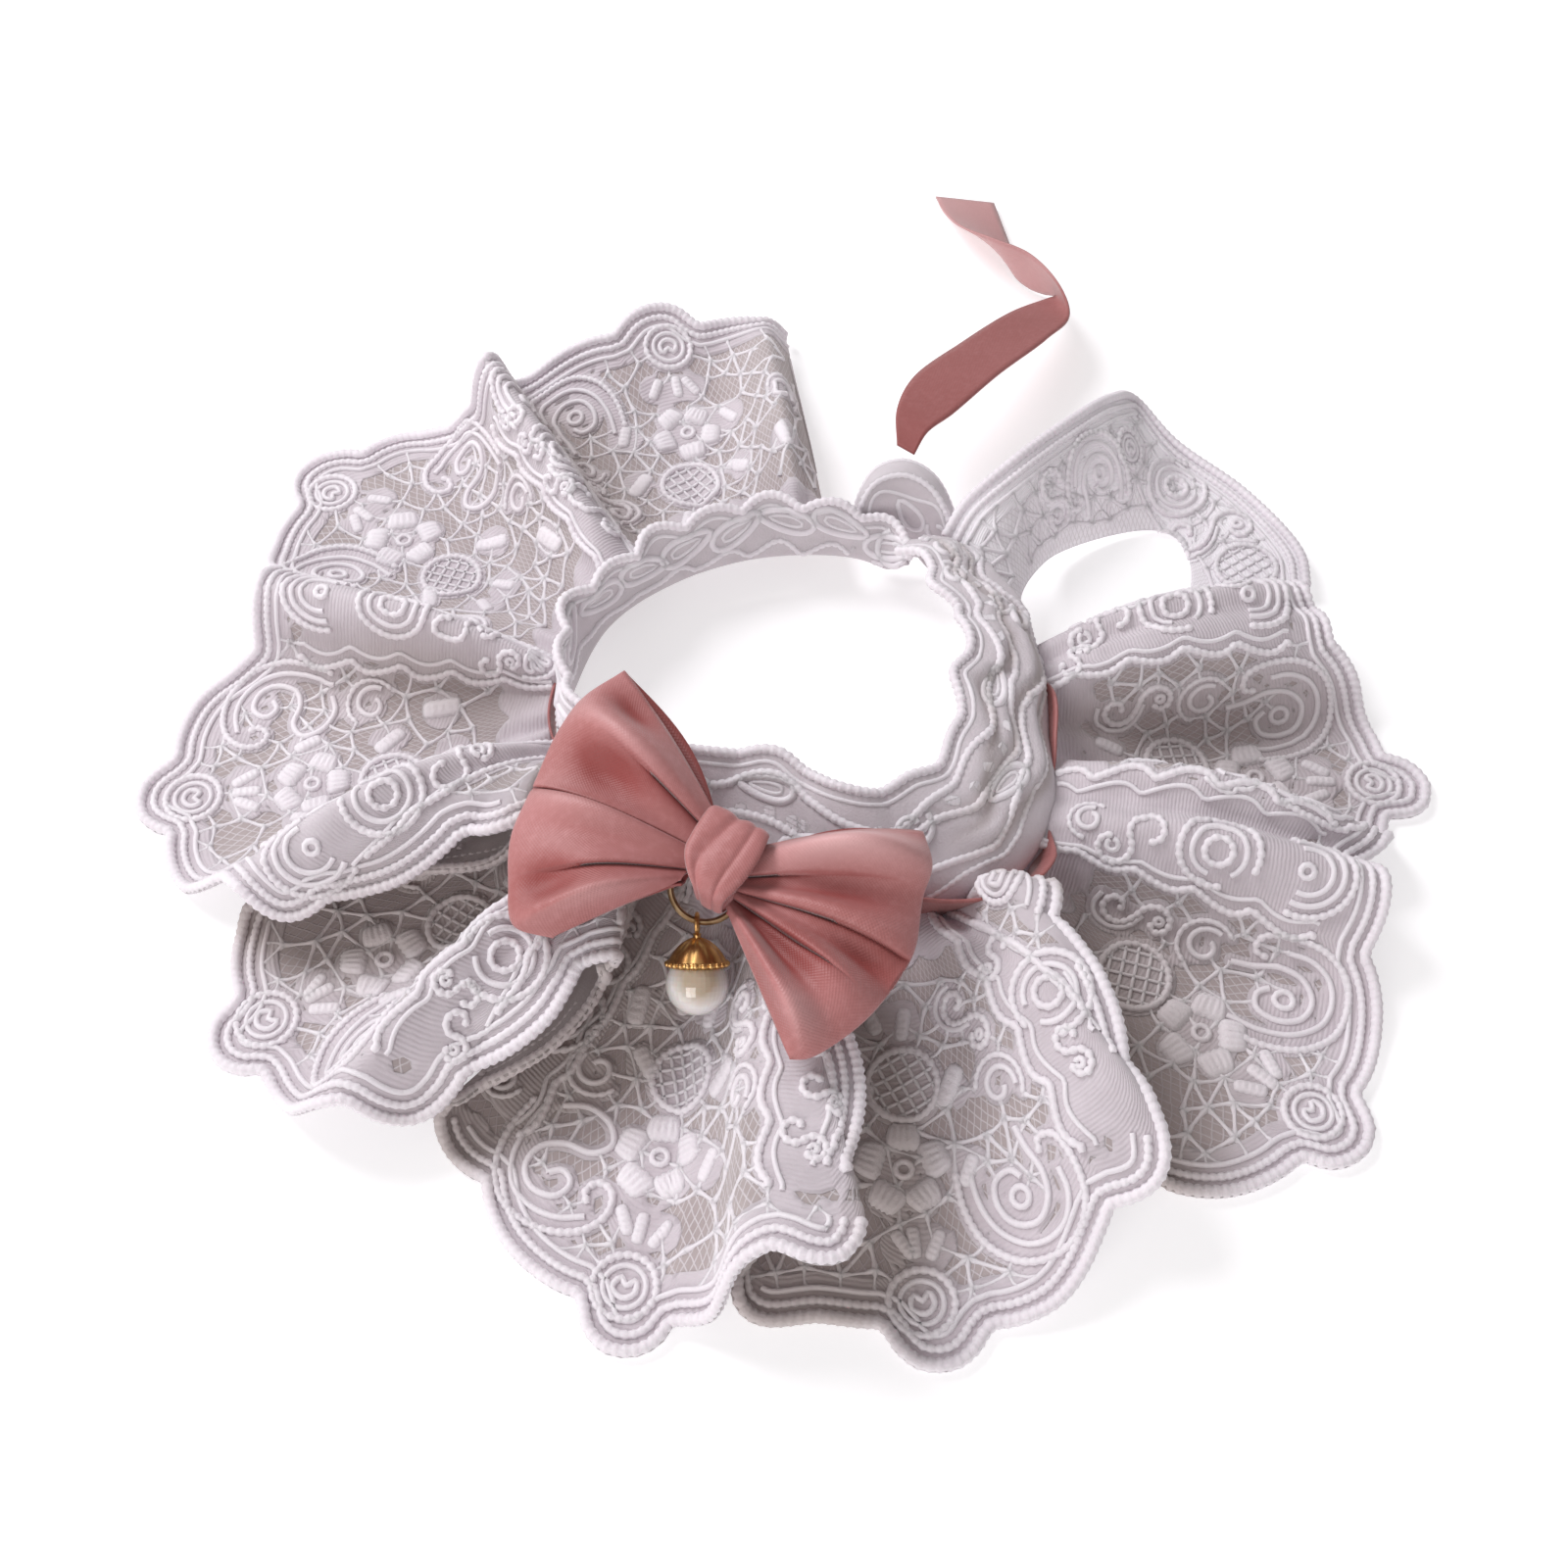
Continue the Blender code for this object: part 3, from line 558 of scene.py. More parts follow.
def ruffle_cloth():
    """The ruffle's surface, the repeat count at each column, and which columns are hidden."""
    per_gap = 8
    sections, tips, hidden = ruffle_sections()
    fine = chain(sections, per_gap, 2, straight=(0,))
    tips = [tip * per_gap for tip in tips]
    hem = [row[2] for row in fine]
    repeats = repeats_along(hem, tips)
    along = np.array(lengths_along(hem))
    count = round(along[-1] / COLUMN_STEP)
    columns = []
    counts = []
    covered = []
    for k in range(count + 1):
        at = along[-1] * k / count
        i = min(int(np.searchsorted(along, at, side="right")) - 1, len(fine) - 2)
        share = (at - along[i]) / (along[i + 1] - along[i])
        start, half, end = (a.lerp(b, share) for a, b in zip(fine[i], fine[i + 1]))
        tangent = (hem[min(i + 2, len(hem) - 1)] - hem[max(i - 1, 0)]).normalized()
        out = end - half
        out -= out.dot(tangent) * tangent
        out.normalize()
        repeat = repeats[i] + (repeats[i + 1] - repeats[i]) * share
        end = end + out * scallop(repeat)
        line = [across(start, half, end, j / (ROWS - 1)) for j in range(ROWS)]
        gather = gathers(start)
        for j, point in enumerate(line):
            left = 1 - j / (ROWS - 1)
            point.z += gather * left ** 2.2 + 0.75 * noise.noise(point / 15.0) * (1 - left ** 4)
            point.z = max(point.z, LACE_WALL / 2)
        columns.append(line)
        counts.append(repeat)
        place = (i + share) / per_gap
        covered.append(any(low <= place <= high for low, high in hidden))
    return Cloth(columns), counts, covered


def layer_edge(layer, repeats):
    distance, swing, wave, phase = layer
    return distance + swing * math.sin(math.tau * repeats / wave + phase)


def frill_cloth():
    """The frill's surface, from its foot to its top edge, and the painted shade in the hollows
    under its layers' edges.
    """
    first = FRILL[0][0]
    last = FRILL[-1][0]
    columns = []
    shades = []
    steps = 340
    along = 0.0
    for k in range(steps + 1):
        azimuth = first + (last - first) * k / steps
        lean, top, shoulder = looked_up(FRILL, azimuth)
        along += math.radians((last - first) / steps) * (looked_up(NECK_LINE, azimuth)[0] + lean)
        petal = abs(math.sin(math.pi * along / FRILL_REPEAT)) ** 0.8
        back = min(max((205 - azimuth) / 20, 0.0), 1.0)
        end = min(max((azimuth - 366) / 10, 0.0), 1.0)
        wave = 0.8 * math.sin(math.tau * along / 23) + 0.6 * math.sin(math.tau * along / 37 + 1)
        bunched = min(max((azimuth - 300) / 14, 0.0), 1.0)
        wave += 0.7 * bunched * math.sin(math.tau * along / 13)
        close = max(0.0, 1 - min(azimuth - first, last - azimuth) / 8) ** 2
        foot = neck_point(azimuth, -FRILL_IN, FRILL_FOOT + 4.5 * close)
        half = neck_point(azimuth, shoulder + 0.4 * wave, (FRILL_FOOT + top) / 2)
        spread = (2.4 * back - 1.8 * end) * petal - 0.2 * back
        edge = neck_point(azimuth, lean - FRILL_IN + wave + spread, top + 1.2 * petal)
        line = [across(foot, half, edge, j / 31) for j in range(32)]
        from_edge = [lengths_along(line)[-1] - at for at in lengths_along(line)]
        out = (half - Vector((*NECK_CENTRE, half.z))).normalized() * 0.5 + Vector((0, 0, 0.85))
        shades.append([])
        for j, distance in enumerate(from_edge):
            step = 0.0
            hollow = 0.0
            for layer in FRILL_LAYERS:
                below = distance - layer_edge(layer, along / FRILL_REPEAT)
                step += max(0.0, 1 + below / 4.4) if below < 0 else max(0.0, 1 - below / 0.9)
                hollow += max(0.0, 1 - abs(below - 1.6) / 1.7)
            line[j] = line[j] + out * 1.25 * bunched * step
            # painted shade in the hollow under each layer's edge, where the frill is bunched
            shades[-1].append(0.62 * bunched * hollow)
        columns.append(line)
    return Cloth(columns), shades


def end_loop_cloth():
    rows = []
    for out_turn, out_reach, out_lift, in_turn, in_reach, in_lift in END_LOOP:
        rows.append((
            polar(out_turn, out_reach, out_lift),
            polar(in_turn, in_reach, in_lift),
        ))
    columns = []
    for outer, inner in chain(rows, 10, 0):
        line = []
        for j in range(24):
            share = j / 23
            point = inner.lerp(outer, share)
            point.z += 0.25 * (outer.z - inner.z) * math.sin(math.pi * share)
            point.z = max(point.z, 0.0) + LACE_WALL / 2
            line.append(point)
        columns.append(line)
    return Cloth(columns[::-1])


def end_curl_cloth():
    """The curl: a narrow band over its arch, whose front comes down to the frill."""
    rows = [(from_neck(*point),) for point in END_CURL]
    left, right = (from_neck(*point) for point in CURL_FOOT)
    back = Vector((0.1, 0.9, -0.3)) * END_CURL_WIDTH
    columns = []
    arch = [point for (point,) in chain(rows, 8, 0)]
    for k, point in enumerate(arch):
        share = k / (len(arch) - 1)
        line = [point + back * (0.5 - j / 7) for j in range(7)]
        foot = left.lerp(right, share)
        for j in range(15):
            down = j / 14
            place = (point - back * 0.5).lerp(foot, down)
            place += Vector((0, -0.5, 0.85)) * 2.2 * math.sin(math.pi * down) ** 0.8
            line.append(place)
        columns.append(line[::-1])
    return Cloth(columns)


def ribbon_neck_cloth():
    first = RIBBON_EDGE[0][0]
    last = RIBBON_EDGE[-1][0]
    columns = []
    steps = 220
    for k in range(steps + 1):
        azimuth = first + (last - first) * k / steps
        top, lean, foot = looked_up(RIBBON_EDGE, azimuth)
        line = []
        for j in range(9):
            share = j / 8
            height = foot + (top - foot) * share
            line.append(neck_point(azimuth, -0.6 + (lean + 0.6) * share ** 1.3, height))
        columns.append(line)
    return Cloth(columns)


def tail_cloth():
    rows = []
    for k, (x, y, z, turn, tilt) in enumerate(TAIL):
        width = RIBBON_WIDTH if k > 1 else (TAIL_ROOT_WIDTH, 8.5)[k]
        turn = math.radians(turn)
        tilt = math.radians(tilt)
        over = Vector((
            math.cos(turn) * math.cos(tilt),
            math.sin(turn) * math.cos(tilt),
            math.sin(tilt),
        ))
        rows.append((from_neck(x, y, z), over * width))
    columns = []
    for middle, over in chain(rows, 12, 0):
        line = [middle + over * (j / 10 - 0.5) for j in range(11)]
        for point in line:
            point.z = max(point.z, 0.0) + 0.5
        columns.append(line)
    return Cloth(columns[::-1])


def bow_frame():
    """The bow's place: its x along the wings, its y up the knot, its z out of the bow."""
    turn = Matrix.Rotation(math.radians(BOW_TILT), 4, "X")
    spin = Matrix.Rotation(math.radians(BOW_TURN), 4, "Z")
    return Matrix.Translation(from_neck(*BOW_AT)) @ turn @ spin


def swell(share):
    """The lift of a wing's layer from its knot to its outer fold."""
    return math.sin(math.pi * share ** 1.3) ** 0.8 + 0.35 * share * (1 - share) ** 0.4


def dropped(creases, dents, at, share):
    """How far a wing's front lies below its crown at a place on one of its rays."""
    drop = 0.0
    for place, side, depth, width, fade, end in creases:
        beyond = (at - place) * side
        strength = min(max((end - share) / (end - fade), 0.0), 1.0)
        strength *= strength * (3 - 2 * strength)
        beside = math.exp(-beyond / width) if beyond > 1e-6 else 0.12 * math.exp(beyond / 0.15)
        drop += depth * strength * beside
    for place, middle, depth, wide, long in dents:
        drop += depth * math.exp(-((at - place) / wide) ** 2 - ((share - middle) / long) ** 2)
    return drop


def wing_rays(rows, creases):
    """The rays of a wing, close together beside each sharp crease, and their places."""
    per_gap = 25
    fine = chain(rows, per_gap, 1)
    sharp = [round(place * per_gap) for place, *_ in creases]
    kept = [
        k for k in range(len(fine))
        if k % 3 == 0 or k == len(fine) - 1 or any(abs(k - place) < 3 for place in sharp)
    ]
    return [(k / per_gap, fine[k]) for k in kept]


def wing_folds(wing, creases, dents):
    """How deep in a fold each place of a wing's front lies, in the order of its points, for painted
    shade; the back layer is painted deep all over, and raised places below nought take painted
    light.
    """
    rows = [(Vector(), Vector((reach, height, 0.0))) for _, reach, height, _, _ in wing]
    depths = []
    for at, _ in wing_rays(rows, creases):
        front = [dropped(creases, dents, at, share) for share in wing_shares()]
        # the back layer gets painted shade all over
        depths.append(front + [1.6] * (len(front) - 1))
    if wing[0][1] < 0:
        depths = depths[::-1]
    return [min(max(depth / 1.9, -1.0), 1.0) for line in depths for depth in line]


def wing_shares():
    return [0.5 * (1 - math.cos(math.pi * k / 26)) for k in range(27)]


def wing_cloth(wing, creases, dents):
    """A wing: the ribbon goes out in front, folds over and comes back behind."""
    side = math.copysign(1.0, wing[0][1])
    rows = []
    for root, reach, height, lift, puff in wing:
        rows.append((
            Vector((side * WING_GATHER, root, 0.0)),
            Vector((reach, height, lift)),
            Vector((puff, 0.0, 0.0)),
        ))
    frame_of_bow = bow_frame()
    columns = []
    front = wing_shares()
    for at, (root, tip, puff) in wing_rays(rows, creases):
        line = []
        way = (tip - root).normalized()
        open_way = Vector((-way.y, way.x, 0.0)) * side
        mouth = max(0.0, 1 - at) ** 1.5
        last = max(0.0, at - (len(wing) - 2))
        crown = puff.x * (1 - 0.75 * max(0.0, 1 - at) ** 1.3 - 0.85 * last ** 1.5)
        for share in front:
            lift = ROOT_LIFT * (1 - share) + WING_PUFF * crown * swell(share)
            lift -= min(dropped(creases, dents, at, share), 0.72 * lift + 0.25)
            shift = open_way * MOUTH_OPEN * 0.15 * mouth * math.sin(math.pi * share)
            line.append(root.lerp(tip, share) + shift + Vector((0, 0, lift)))
        for share in front[-2::-1]:
            lift = ROOT_LIFT * (1 - share) + WING_BACK * swell(share) * (1 - 0.5 * mouth)
            lift *= 1 - 0.6 * last
            shift = open_way * math.sin(math.pi * share)
            shift *= MOUTH_OPEN * mouth + LOWER_TUCK * last ** 1.5
            line.append(root.lerp(tip, share) + shift - Vector((0, 0, lift)))
        columns.append([frame_of_bow @ point for point in line])
    return Cloth(columns if side > 0 else columns[::-1])


def rounded(value, power=0.5):
    return math.copysign(abs(value) ** power, value)


def knot_cloth():
    """The band round the bow's middle: from behind, over the front, to its sewn end."""
    half_wide, half_tall, half_deep = KNOT_HALF
    frame_of_bow = bow_frame()
    columns = []
    steps = 84
    for k in range(steps + 1):
        turn = math.tau * (1.06 * k / steps - 0.55)
        tall = rounded(math.sin(turn))
        deep = rounded(math.cos(turn))
        low = max(0.0, -tall) ** 2
        high = max(0.0, tall) ** 2
        wide = half_wide * (1 - 0.55 * low - 0.06 * high) * (0.9 + 0.1 * deep)
        middle = 1.5 * low - 0.5 * high
        grow = 1 + 0.05 * k / steps
        line = []
        for j in range(29):
            across_band = j / 14 - 1
            fold = 0.6 * math.exp(-((across_band + 0.40 - 0.35 * tall) / 0.20) ** 2)
            fold += 0.34 * math.exp(-((across_band - 0.45 - 0.1 * tall) / 0.10) ** 2)
            fold += 0.5 * abs(across_band) ** 14
            fold -= 0.15 * math.cos(2.0 * across_band)
            line.append(frame_of_bow @ Vector((
                middle + wide * across_band,
                (half_tall - 0.6 * fold) * tall * grow - 0.5,
                KNOT_LIFT + (half_deep - fold) * deep * grow,
            )))
        columns.append(line)
    return Cloth(columns)


def slope_frame():
    """The ring's place: x to the right, y up the slope, z out of it."""
    turn = Matrix.Rotation(math.radians(CHARM_SLOPE), 4, "X")
    return Matrix.Translation(from_neck(*RING_AT)) @ turn


def pearl_frame():
    """The pearl's place: its z points up the drop's axis."""
    turn = math.radians(DROP_ANGLE)
    place = slope_frame()
    place.translation = place @ Vector((
        RING_RADIUS * math.cos(turn), RING_RADIUS * math.sin(turn) - PEARL_DROP, 0.0,
    ))
    return place @ Matrix.Rotation(-math.pi / 2, 4, "X")


# ================================================================ making the pieces
def cloth_mesh(name, cloth):
    """A mesh of the cloth's grid with its UVs along and across, in metres."""
    mesh = bpy.data.meshes.new(name)
    flat = cloth.points.reshape(-1, 3)
    mesh.from_pydata([Vector(point) * MM for point in flat], [], cloth.quads)
    along = np.linalg.norm(np.diff(cloth.points, axis=0), axis=2).mean(axis=1)
    over = np.linalg.norm(np.diff(cloth.points, axis=1), axis=2).mean(axis=0)
    u = np.concatenate([[0.0], np.cumsum(along)]) * MM
    v = np.concatenate([[0.0], np.cumsum(over)]) * MM
    layer = mesh.uv_layers.new(name="weave")
    for loop in mesh.loops:
        column, row = divmod(loop.vertex_index, cloth.rows)
        layer.data[loop.index].uv = (u[column], v[row])
    return mesh


def show(name, mesh, finish, body, stands_for=()):
    """A piece of the scarf from its mesh, its finish and the body that it rides on."""
    made = bpy.data.objects.new(name, mesh)
    bpy.context.scene.collection.objects.link(made)
    mesh.materials.clear()
    mesh.materials.append(finish)
    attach(made, body)
    if stands_for:
        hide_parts(*stands_for)
    return made


def apply_modifiers(made):
    bpy.ops.object.select_all(action="DESELECT")
    made.select_set(True)
    bpy.context.view_layer.objects.active = made
    for modifier in list(made.modifiers):
        bpy.ops.object.modifier_apply(modifier=modifier.name)
    made.data.shade_smooth()


def cloth_piece(name, cloth, wall, finish, body, stands_for=(), folds=None, side=0.0):
    """A piece of cloth with its thickness on both sides of its middle surface, or on one."""
    mesh = cloth_mesh(name, cloth)
    # the fold attribute carries painted shade and painted light for the satin finish
    if folds:
        mesh.attributes.new("fold", "FLOAT", "POINT").data.foreach_set("value", folds)
    made = show(name, mesh, finish, body, stands_for)
    thicken = made.modifiers.new("wall", "SOLIDIFY")
    thicken.thickness = wall * MM
    thicken.offset = side
    thicken.use_even_offset = False
    apply_modifiers(made)
    return made


# ================================================================ finishes
class Value:
    """A shader socket on which sums can be written as ordinary expressions."""

    def __init__(self, tree, socket):
        self.tree = tree
        self.socket = socket

    def _with(self, operation, *others):
        node = self.tree.nodes.new("ShaderNodeMath")
        node.operation = operation
        for k, other in enumerate(others):
            if isinstance(other, Value):
                self.tree.links.new(other.socket, node.inputs[k])
            else:
                node.inputs[k].default_value = other
        return Value(self.tree, node.outputs[0])

    def __add__(self, other):
        return self._with("ADD", self, other)

    def __radd__(self, other):
        return self._with("ADD", other, self)

    def __sub__(self, other):
        return self._with("SUBTRACT", self, other)

    def __rsub__(self, other):
        return self._with("SUBTRACT", other, self)

    def __mul__(self, other):
        return self._with("MULTIPLY", self, other)

    def __rmul__(self, other):
        return self._with("MULTIPLY", other, self)

    def __pow__(self, other):
        return self._with("POWER", self, other)

    def clamped(self):
        return self._with("MINIMUM", self._with("MAXIMUM", self, 0.0), 1.0)

    def sine(self):
        return self._with("SINE", self)

    def size(self):
        return self._with("ABSOLUTE", self)

    def most(self, other):
        return self._with("MAXIMUM", self, other)


class Finish:
    """A material with its Principled shader, to which nodes are added one by one."""

    def __init__(self, name, colour, roughness, **fixed):
        self.material = bpy.data.materials.new(name)
        self.material.use_nodes = True
        self.tree = self.material.node_tree
        self.shader = self.tree.nodes["Principled BSDF"]
        self.shader.inputs["Base Color"].default_value = (*colour, 1.0)
        self.shader.inputs["Roughness"].default_value = roughness
        for socket, value in fixed.items():
            self.shader.inputs[socket.replace("_", " ")].default_value = value
        self.material.diffuse_color = (*colour, 1.0)

    def node(self, kind, out=0, settings=None, **sockets):
        """A node of a type, with its settings and the values or links of its sockets."""
        made = self.tree.nodes.new("ShaderNode" + kind)
        for name, value in (settings or {}).items():
            setattr(made, name, value)
        for name, value in sockets.items():
            key = int(name[1:]) if name[1:].isdigit() else name.replace("_", " ")
            self.feed(made.inputs[key], value)
        return Value(self.tree, made.outputs[out])

    def feed(self, socket, value):
        if isinstance(value, Value):
            self.tree.links.new(value.socket, socket)
        else:
            socket.default_value = value

    def place(self, kind="Object"):
        return self.node("TexCoord", kind)

    def noise(self, scale, detail=2.0, at=None, out="Fac", roughness=0.5):
        return self.node(
            "TexNoise", out, Vector=at or self.place(), Scale=scale, Detail=detail,
            Roughness=roughness,
        )

    def mix(self, share, one, other):
        """A colour between two colours."""
        return self.node(
            "Mix", 2, {"data_type": "RGBA"}, _0=share,
            _6=one if isinstance(one, Value) else (*one, 1.0),
            _7=other if isinstance(other, Value) else (*other, 1.0),
        )

    def colour(self, value):
        self.feed(self.shader.inputs["Base Color"], value)

    def bump(self, height, strength, distance):
        raised = self.node("Bump", Height=height, Strength=strength, Distance=distance)
        self.feed(self.shader.inputs["Normal"], raised)


def lace_finish(name, colour, shade, low, roughness, work="thread"):
    """Cotton lace: uneven in tone, with painted shade low in the folds, where the shade attribute
    mixes its colour with the low colour; its work is net, satin or thread."""
    made = Finish(
        name, colour, roughness, Sheen_Weight=0.25, Sheen_Roughness=0.5, Subsurface_Weight=0.35,
        Subsurface_Scale=0.0012, Subsurface_Radius=(1.0, 0.9, 0.95),
    )
    tone = made.noise(160.0, 3.0)
    tone = made.mix(((tone - 0.35) * 2.2).clamped(), shade, colour)
    # painted shade of the folds, read from the shade attribute
    deep = made.node("Attribute", "Fac", {"attribute_name": "shade"})
    height = made.noise(2600.0, 2.0)
    weave = made.place("UV")
    x = made.node("SeparateXYZ", "X", Vector=weave)
    y = made.node("SeparateXYZ", "Y", Vector=weave)
    if work == "net":
        slant = made.noise(300.0, 1.0) * 1.6
        one = ((x * 2600.0 + y * 1500.0 + slant).sine().size() * -3.4 + 1.3).clamped()
        other = ((x * 2600.0 - y * 1500.0 - slant).sine().size() * -3.4 + 1.3).clamped()
        threads = one.most(other)
        tone = made.mix(threads * 0.8, tone, (0.62, 0.575, 0.60))
        height = height * 0.3 + threads
    if work == "satin":
        rows = (y * 7400.0 + made.noise(240.0, 2.0) * 5.0).sine()
        height = height * 0.7 + rows * 0.35
    # painted shade: the colour goes to the low colour where the folds keep the window's light off
    made.colour(made.mix(deep.clamped(), tone, low))
    made.bump(height, 0.4, 0.0003)
    return made.material


def satin_finish(name, deep, colour, light, fold_painted_shade=None):
    """Dull satin: a fine weave along the ribbon, deeper in tone here and there, with painted shade
    in its folds and painted light on its raised rolls.
    """
    made = Finish(name, colour, 0.5, Sheen_Weight=0.3, Sheen_Roughness=0.4)
    tone = made.noise(55.0, 3.0)
    shade = made.mix(((tone - 0.32) * 2.4).clamped(), deep, colour)
    fleck = made.noise(900.0, 2.0)
    shade = made.mix(((fleck - 0.45) * 2.5).clamped() * 0.5, shade, light)
    if fold_painted_shade:
        # painted shade where the fold attribute is above nought, painted light on raised rolls
        # where it is below
        fold = made.node("Attribute", "Fac", {"attribute_name": "fold"})
        pale = made.mix(0.6, light, (0.80, 0.52, 0.52))
        shade = made.mix((fold * -0.9).clamped(), shade, pale)
        shade = made.mix((fold * 0.85).clamped(), shade, fold_painted_shade)
    made.colour(shade)
    weave = made.place("UV")
    x = made.node("SeparateXYZ", "X", Vector=weave)
    y = made.node("SeparateXYZ", "Y", Vector=weave)
    threads = (x * 14000.0).sine() * (y * 11000.0).sine()
    made.bump(threads * 0.5 + made.noise(1500.0, 2.0), 0.30, 0.00016)
    return made.material


def gold_finish(name, colour, shade, roughness):
    """Plated gold, browner where the polish is worn."""
    made = Finish(name, colour, roughness, Metallic=1.0)
    worn = ((made.noise(420.0, 3.0) - 0.42) * 3.0).clamped()
    made.colour(made.mix(worn, shade, colour))
    made.feed(made.shader.inputs["Roughness"], roughness + 0.14 * (1 - worn))
    made.bump(made.noise(1300.0, 2.0), 0.12, 0.0001)
    return made.material


def pearl_finish(name, cap_reflection_centre):
    """Glass pearl: a white lustre with a painted reflection of the gold cap on one side, below the
    cap.
    """
    made = Finish(
        name, (0.86, 0.84, 0.80), 0.17, Coat_Weight=0.7, Coat_Roughness=0.06,
        Subsurface_Weight=0.3, Subsurface_Scale=0.0015, Specular_IOR_Level=0.7,
    )
    gap = made.node(
        "VectorMath", "Value", {"operation": "DISTANCE"}, _0=made.place(), _1=tuple(cap_reflection_centre),
    )
    painted_cap_reflection = ((0.0046 - gap) * 420.0).clamped()
    cloud = ((made.noise(330.0, 2.0, roughness=0.4) - 0.4) * 2.0).clamped()
    body = made.mix(cloud, (0.80, 0.77, 0.74), (0.90, 0.88, 0.85))
    # painted reflection: a tan spot on the pearl near the cap, standing for the gold cap's
    # reflection
    made.colour(made.mix(painted_cap_reflection * 0.72, body, (0.42, 0.29, 0.14)))
    made.bump(made.noise(700.0, 2.0), 0.03, 0.0001)
    return made.material


# ================================================================ cords
class Cords:
    """Cords of one piece: lines of points with their radii, and the cloth that they fill."""

    def __init__(self):
        self.lines = []

    def add(self, points, radius, closed=False, bump=0.0, depth=0.25):
        """A cord of that radius; bump is the spacing of its satin stitches, 0 for a plain one."""
        if len(points) < 3:
            return
        radii = [radius] * len(points)
        if bump:
            points = evened(points, bump / 3, closed)
            length = lengths_along(points)[-1]
            count = max(1, round(length / bump))
            radii = [
                radius * (1 - depth + depth * 1.6 * abs(math.sin(math.pi * count * at / length)))
                for at in lengths_along(points)
            ]
        self.lines.append((points, radii, closed))

    def samples(self):
        return [point for points, _, _ in self.lines for point in points]

    def made(self, name, finish, body, slot, sides=1, stands_for=()):
        """The cords as round tubes, made one mesh."""
        curve = bpy.data.curves.new(name, "CURVE")
        curve.dimensions = "3D"
        curve.bevel_depth = MM
        curve.bevel_resolution = sides
        curve.use_fill_caps = True
        for points, radii, closed in self.lines:
            spline = curve.splines.new("POLY")
            spline.points.add(len(points) - 1)
            flat = [value for p in points for value in (p.x * MM, p.y * MM, p.z * MM, 1.0)]
            spline.points.foreach_set("co", flat)
            spline.points.foreach_set("radius", radii)
            spline.use_cyclic_u = closed
        holder = bpy.data.objects.new(name, curve)
        bpy.context.scene.collection.objects.link(holder)
        bpy.ops.object.select_all(action="DESELECT")
        holder.select_set(True)
        bpy.context.view_layer.objects.active = holder
        bpy.ops.object.convert(target="MESH")
        made = bpy.context.object
        made.name = name
        made.data.name = name
        made.data.shade_smooth()
        made.data.materials.clear()
        made.data.materials.append(finish)
        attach(made, body)
        if stands_for:
            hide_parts(*stands_for)
        return made


# ================================================================ lace shapes
# Each shape is a list of strokes, in millimetres, with x along the hem and y away from it:
# points, radius, closed, spacing of the satin stitches
def arc(x, y, radius, start, end, step=0.8, last=None):
    """Points on an arc, or on a spiral if the last radius is another one."""
    last = radius if last is None else last
    turn = math.radians(end - start)
    count = max(4, math.ceil(abs(turn) * max(radius, last) / step))
    made = []
    for k in range(count + 1):
        share = k / count
        angle = math.radians(start) + turn * share
        reach = radius + (last - radius) * share
        made.append((x + reach * math.cos(angle), y + reach * math.sin(angle)))
    return made


def ring(x, y, radius, cord=0.5, bump=0.0):
    return arc(x, y, radius, 0, 360)[:-1], cord, True, bump


def smooth(points, step=0.8, closed=False):
    """A smooth line through points that were given one by one."""
    count = len(points)
    line = [Vector((x, y, 0.0)) for x, y in points]
    if closed:
        line = line[-1:] + line + line[:2]
    made = [p for (p,) in chain([(p,) for p in line], 6, 0)]
    if closed:
        made = made[6:6 * (count + 1)]
    return [(p.x, p.y) for p in evened(made, step, closed)]


def e_scroll():
    """A double band round the lobe that hooks at one end, with a waved line inside."""
    outer = [(-9.0, 7.2), (-9.8, 2), (-9.2, -3.2), (-6.4, -7.6), (-2, -9.6), (3, -9.4),
             (7.2, -7.2), (9.0, -3.6), (8.0, -0.6), (5.6, -0.2), (4.6, -2.2), (5.8, -3.6)]
    inner = [(-7.0, 7.6), (-7.7, 2), (-7.1, -2.6), (-4.8, -6), (-1, -7.5), (3, -7.2),
             (6.4, -5.4)]
    wave = [(-4.8, 7.8), (-1.2, 9.2), (2.8, 8.2), (4.6, 5.6), (2.6, 3.2), (-1.6, 2.8),
            (-4.6, 0.8), (-4.9, -2.6), (-2.4, -5), (1.2, -4.6), (2.2, -2.0), (0.2, -0.8),
            (-1.4, -2.0)]
    return [
        (smooth(outer), 0.6, False, 1.3),
        (smooth(inner), 0.5, False, 0.0),
        (smooth(wave), 0.55, False, 0.0),
    ]


def u_scroll():
    """Bands nested like a horseshoe round an eye, from which a stem curls out."""
    outer = [(-9.2, 6.8), (-9.6, 1), (-8.1, -4.6), (-4, -8.6), (1, -9.5), (6, -7.8),
             (9.1, -3.5), (9.7, 2), (8.4, 6.2), (5.8, 6.6), (5.2, 4.4)]
    inner = [(-6.8, 7.4), (-7.2, 2), (-5.9, -3), (-2.6, -6.4), (1, -7.1), (4.8, -5.6),
             (7.0, -2), (7.1, 1.6)]
    stem = [(2.6, 9.6), (3.2, 6), (4.4, 2.2), (3.6, -1.8), (0.6, -4.2), (-3, -3.2),
            (-4.6, 0.2), (-3.6, 3.6), (-0.8, 4.2), (0.6, 2.6)]
    return [
        (smooth(outer), 0.6, False, 1.3),
        (smooth(inner), 0.5, False, 0.0),
        (smooth(stem), 0.55, False, 0.0),
        ring(-0.6, 0.0, 1.5, 0.55),
    ]


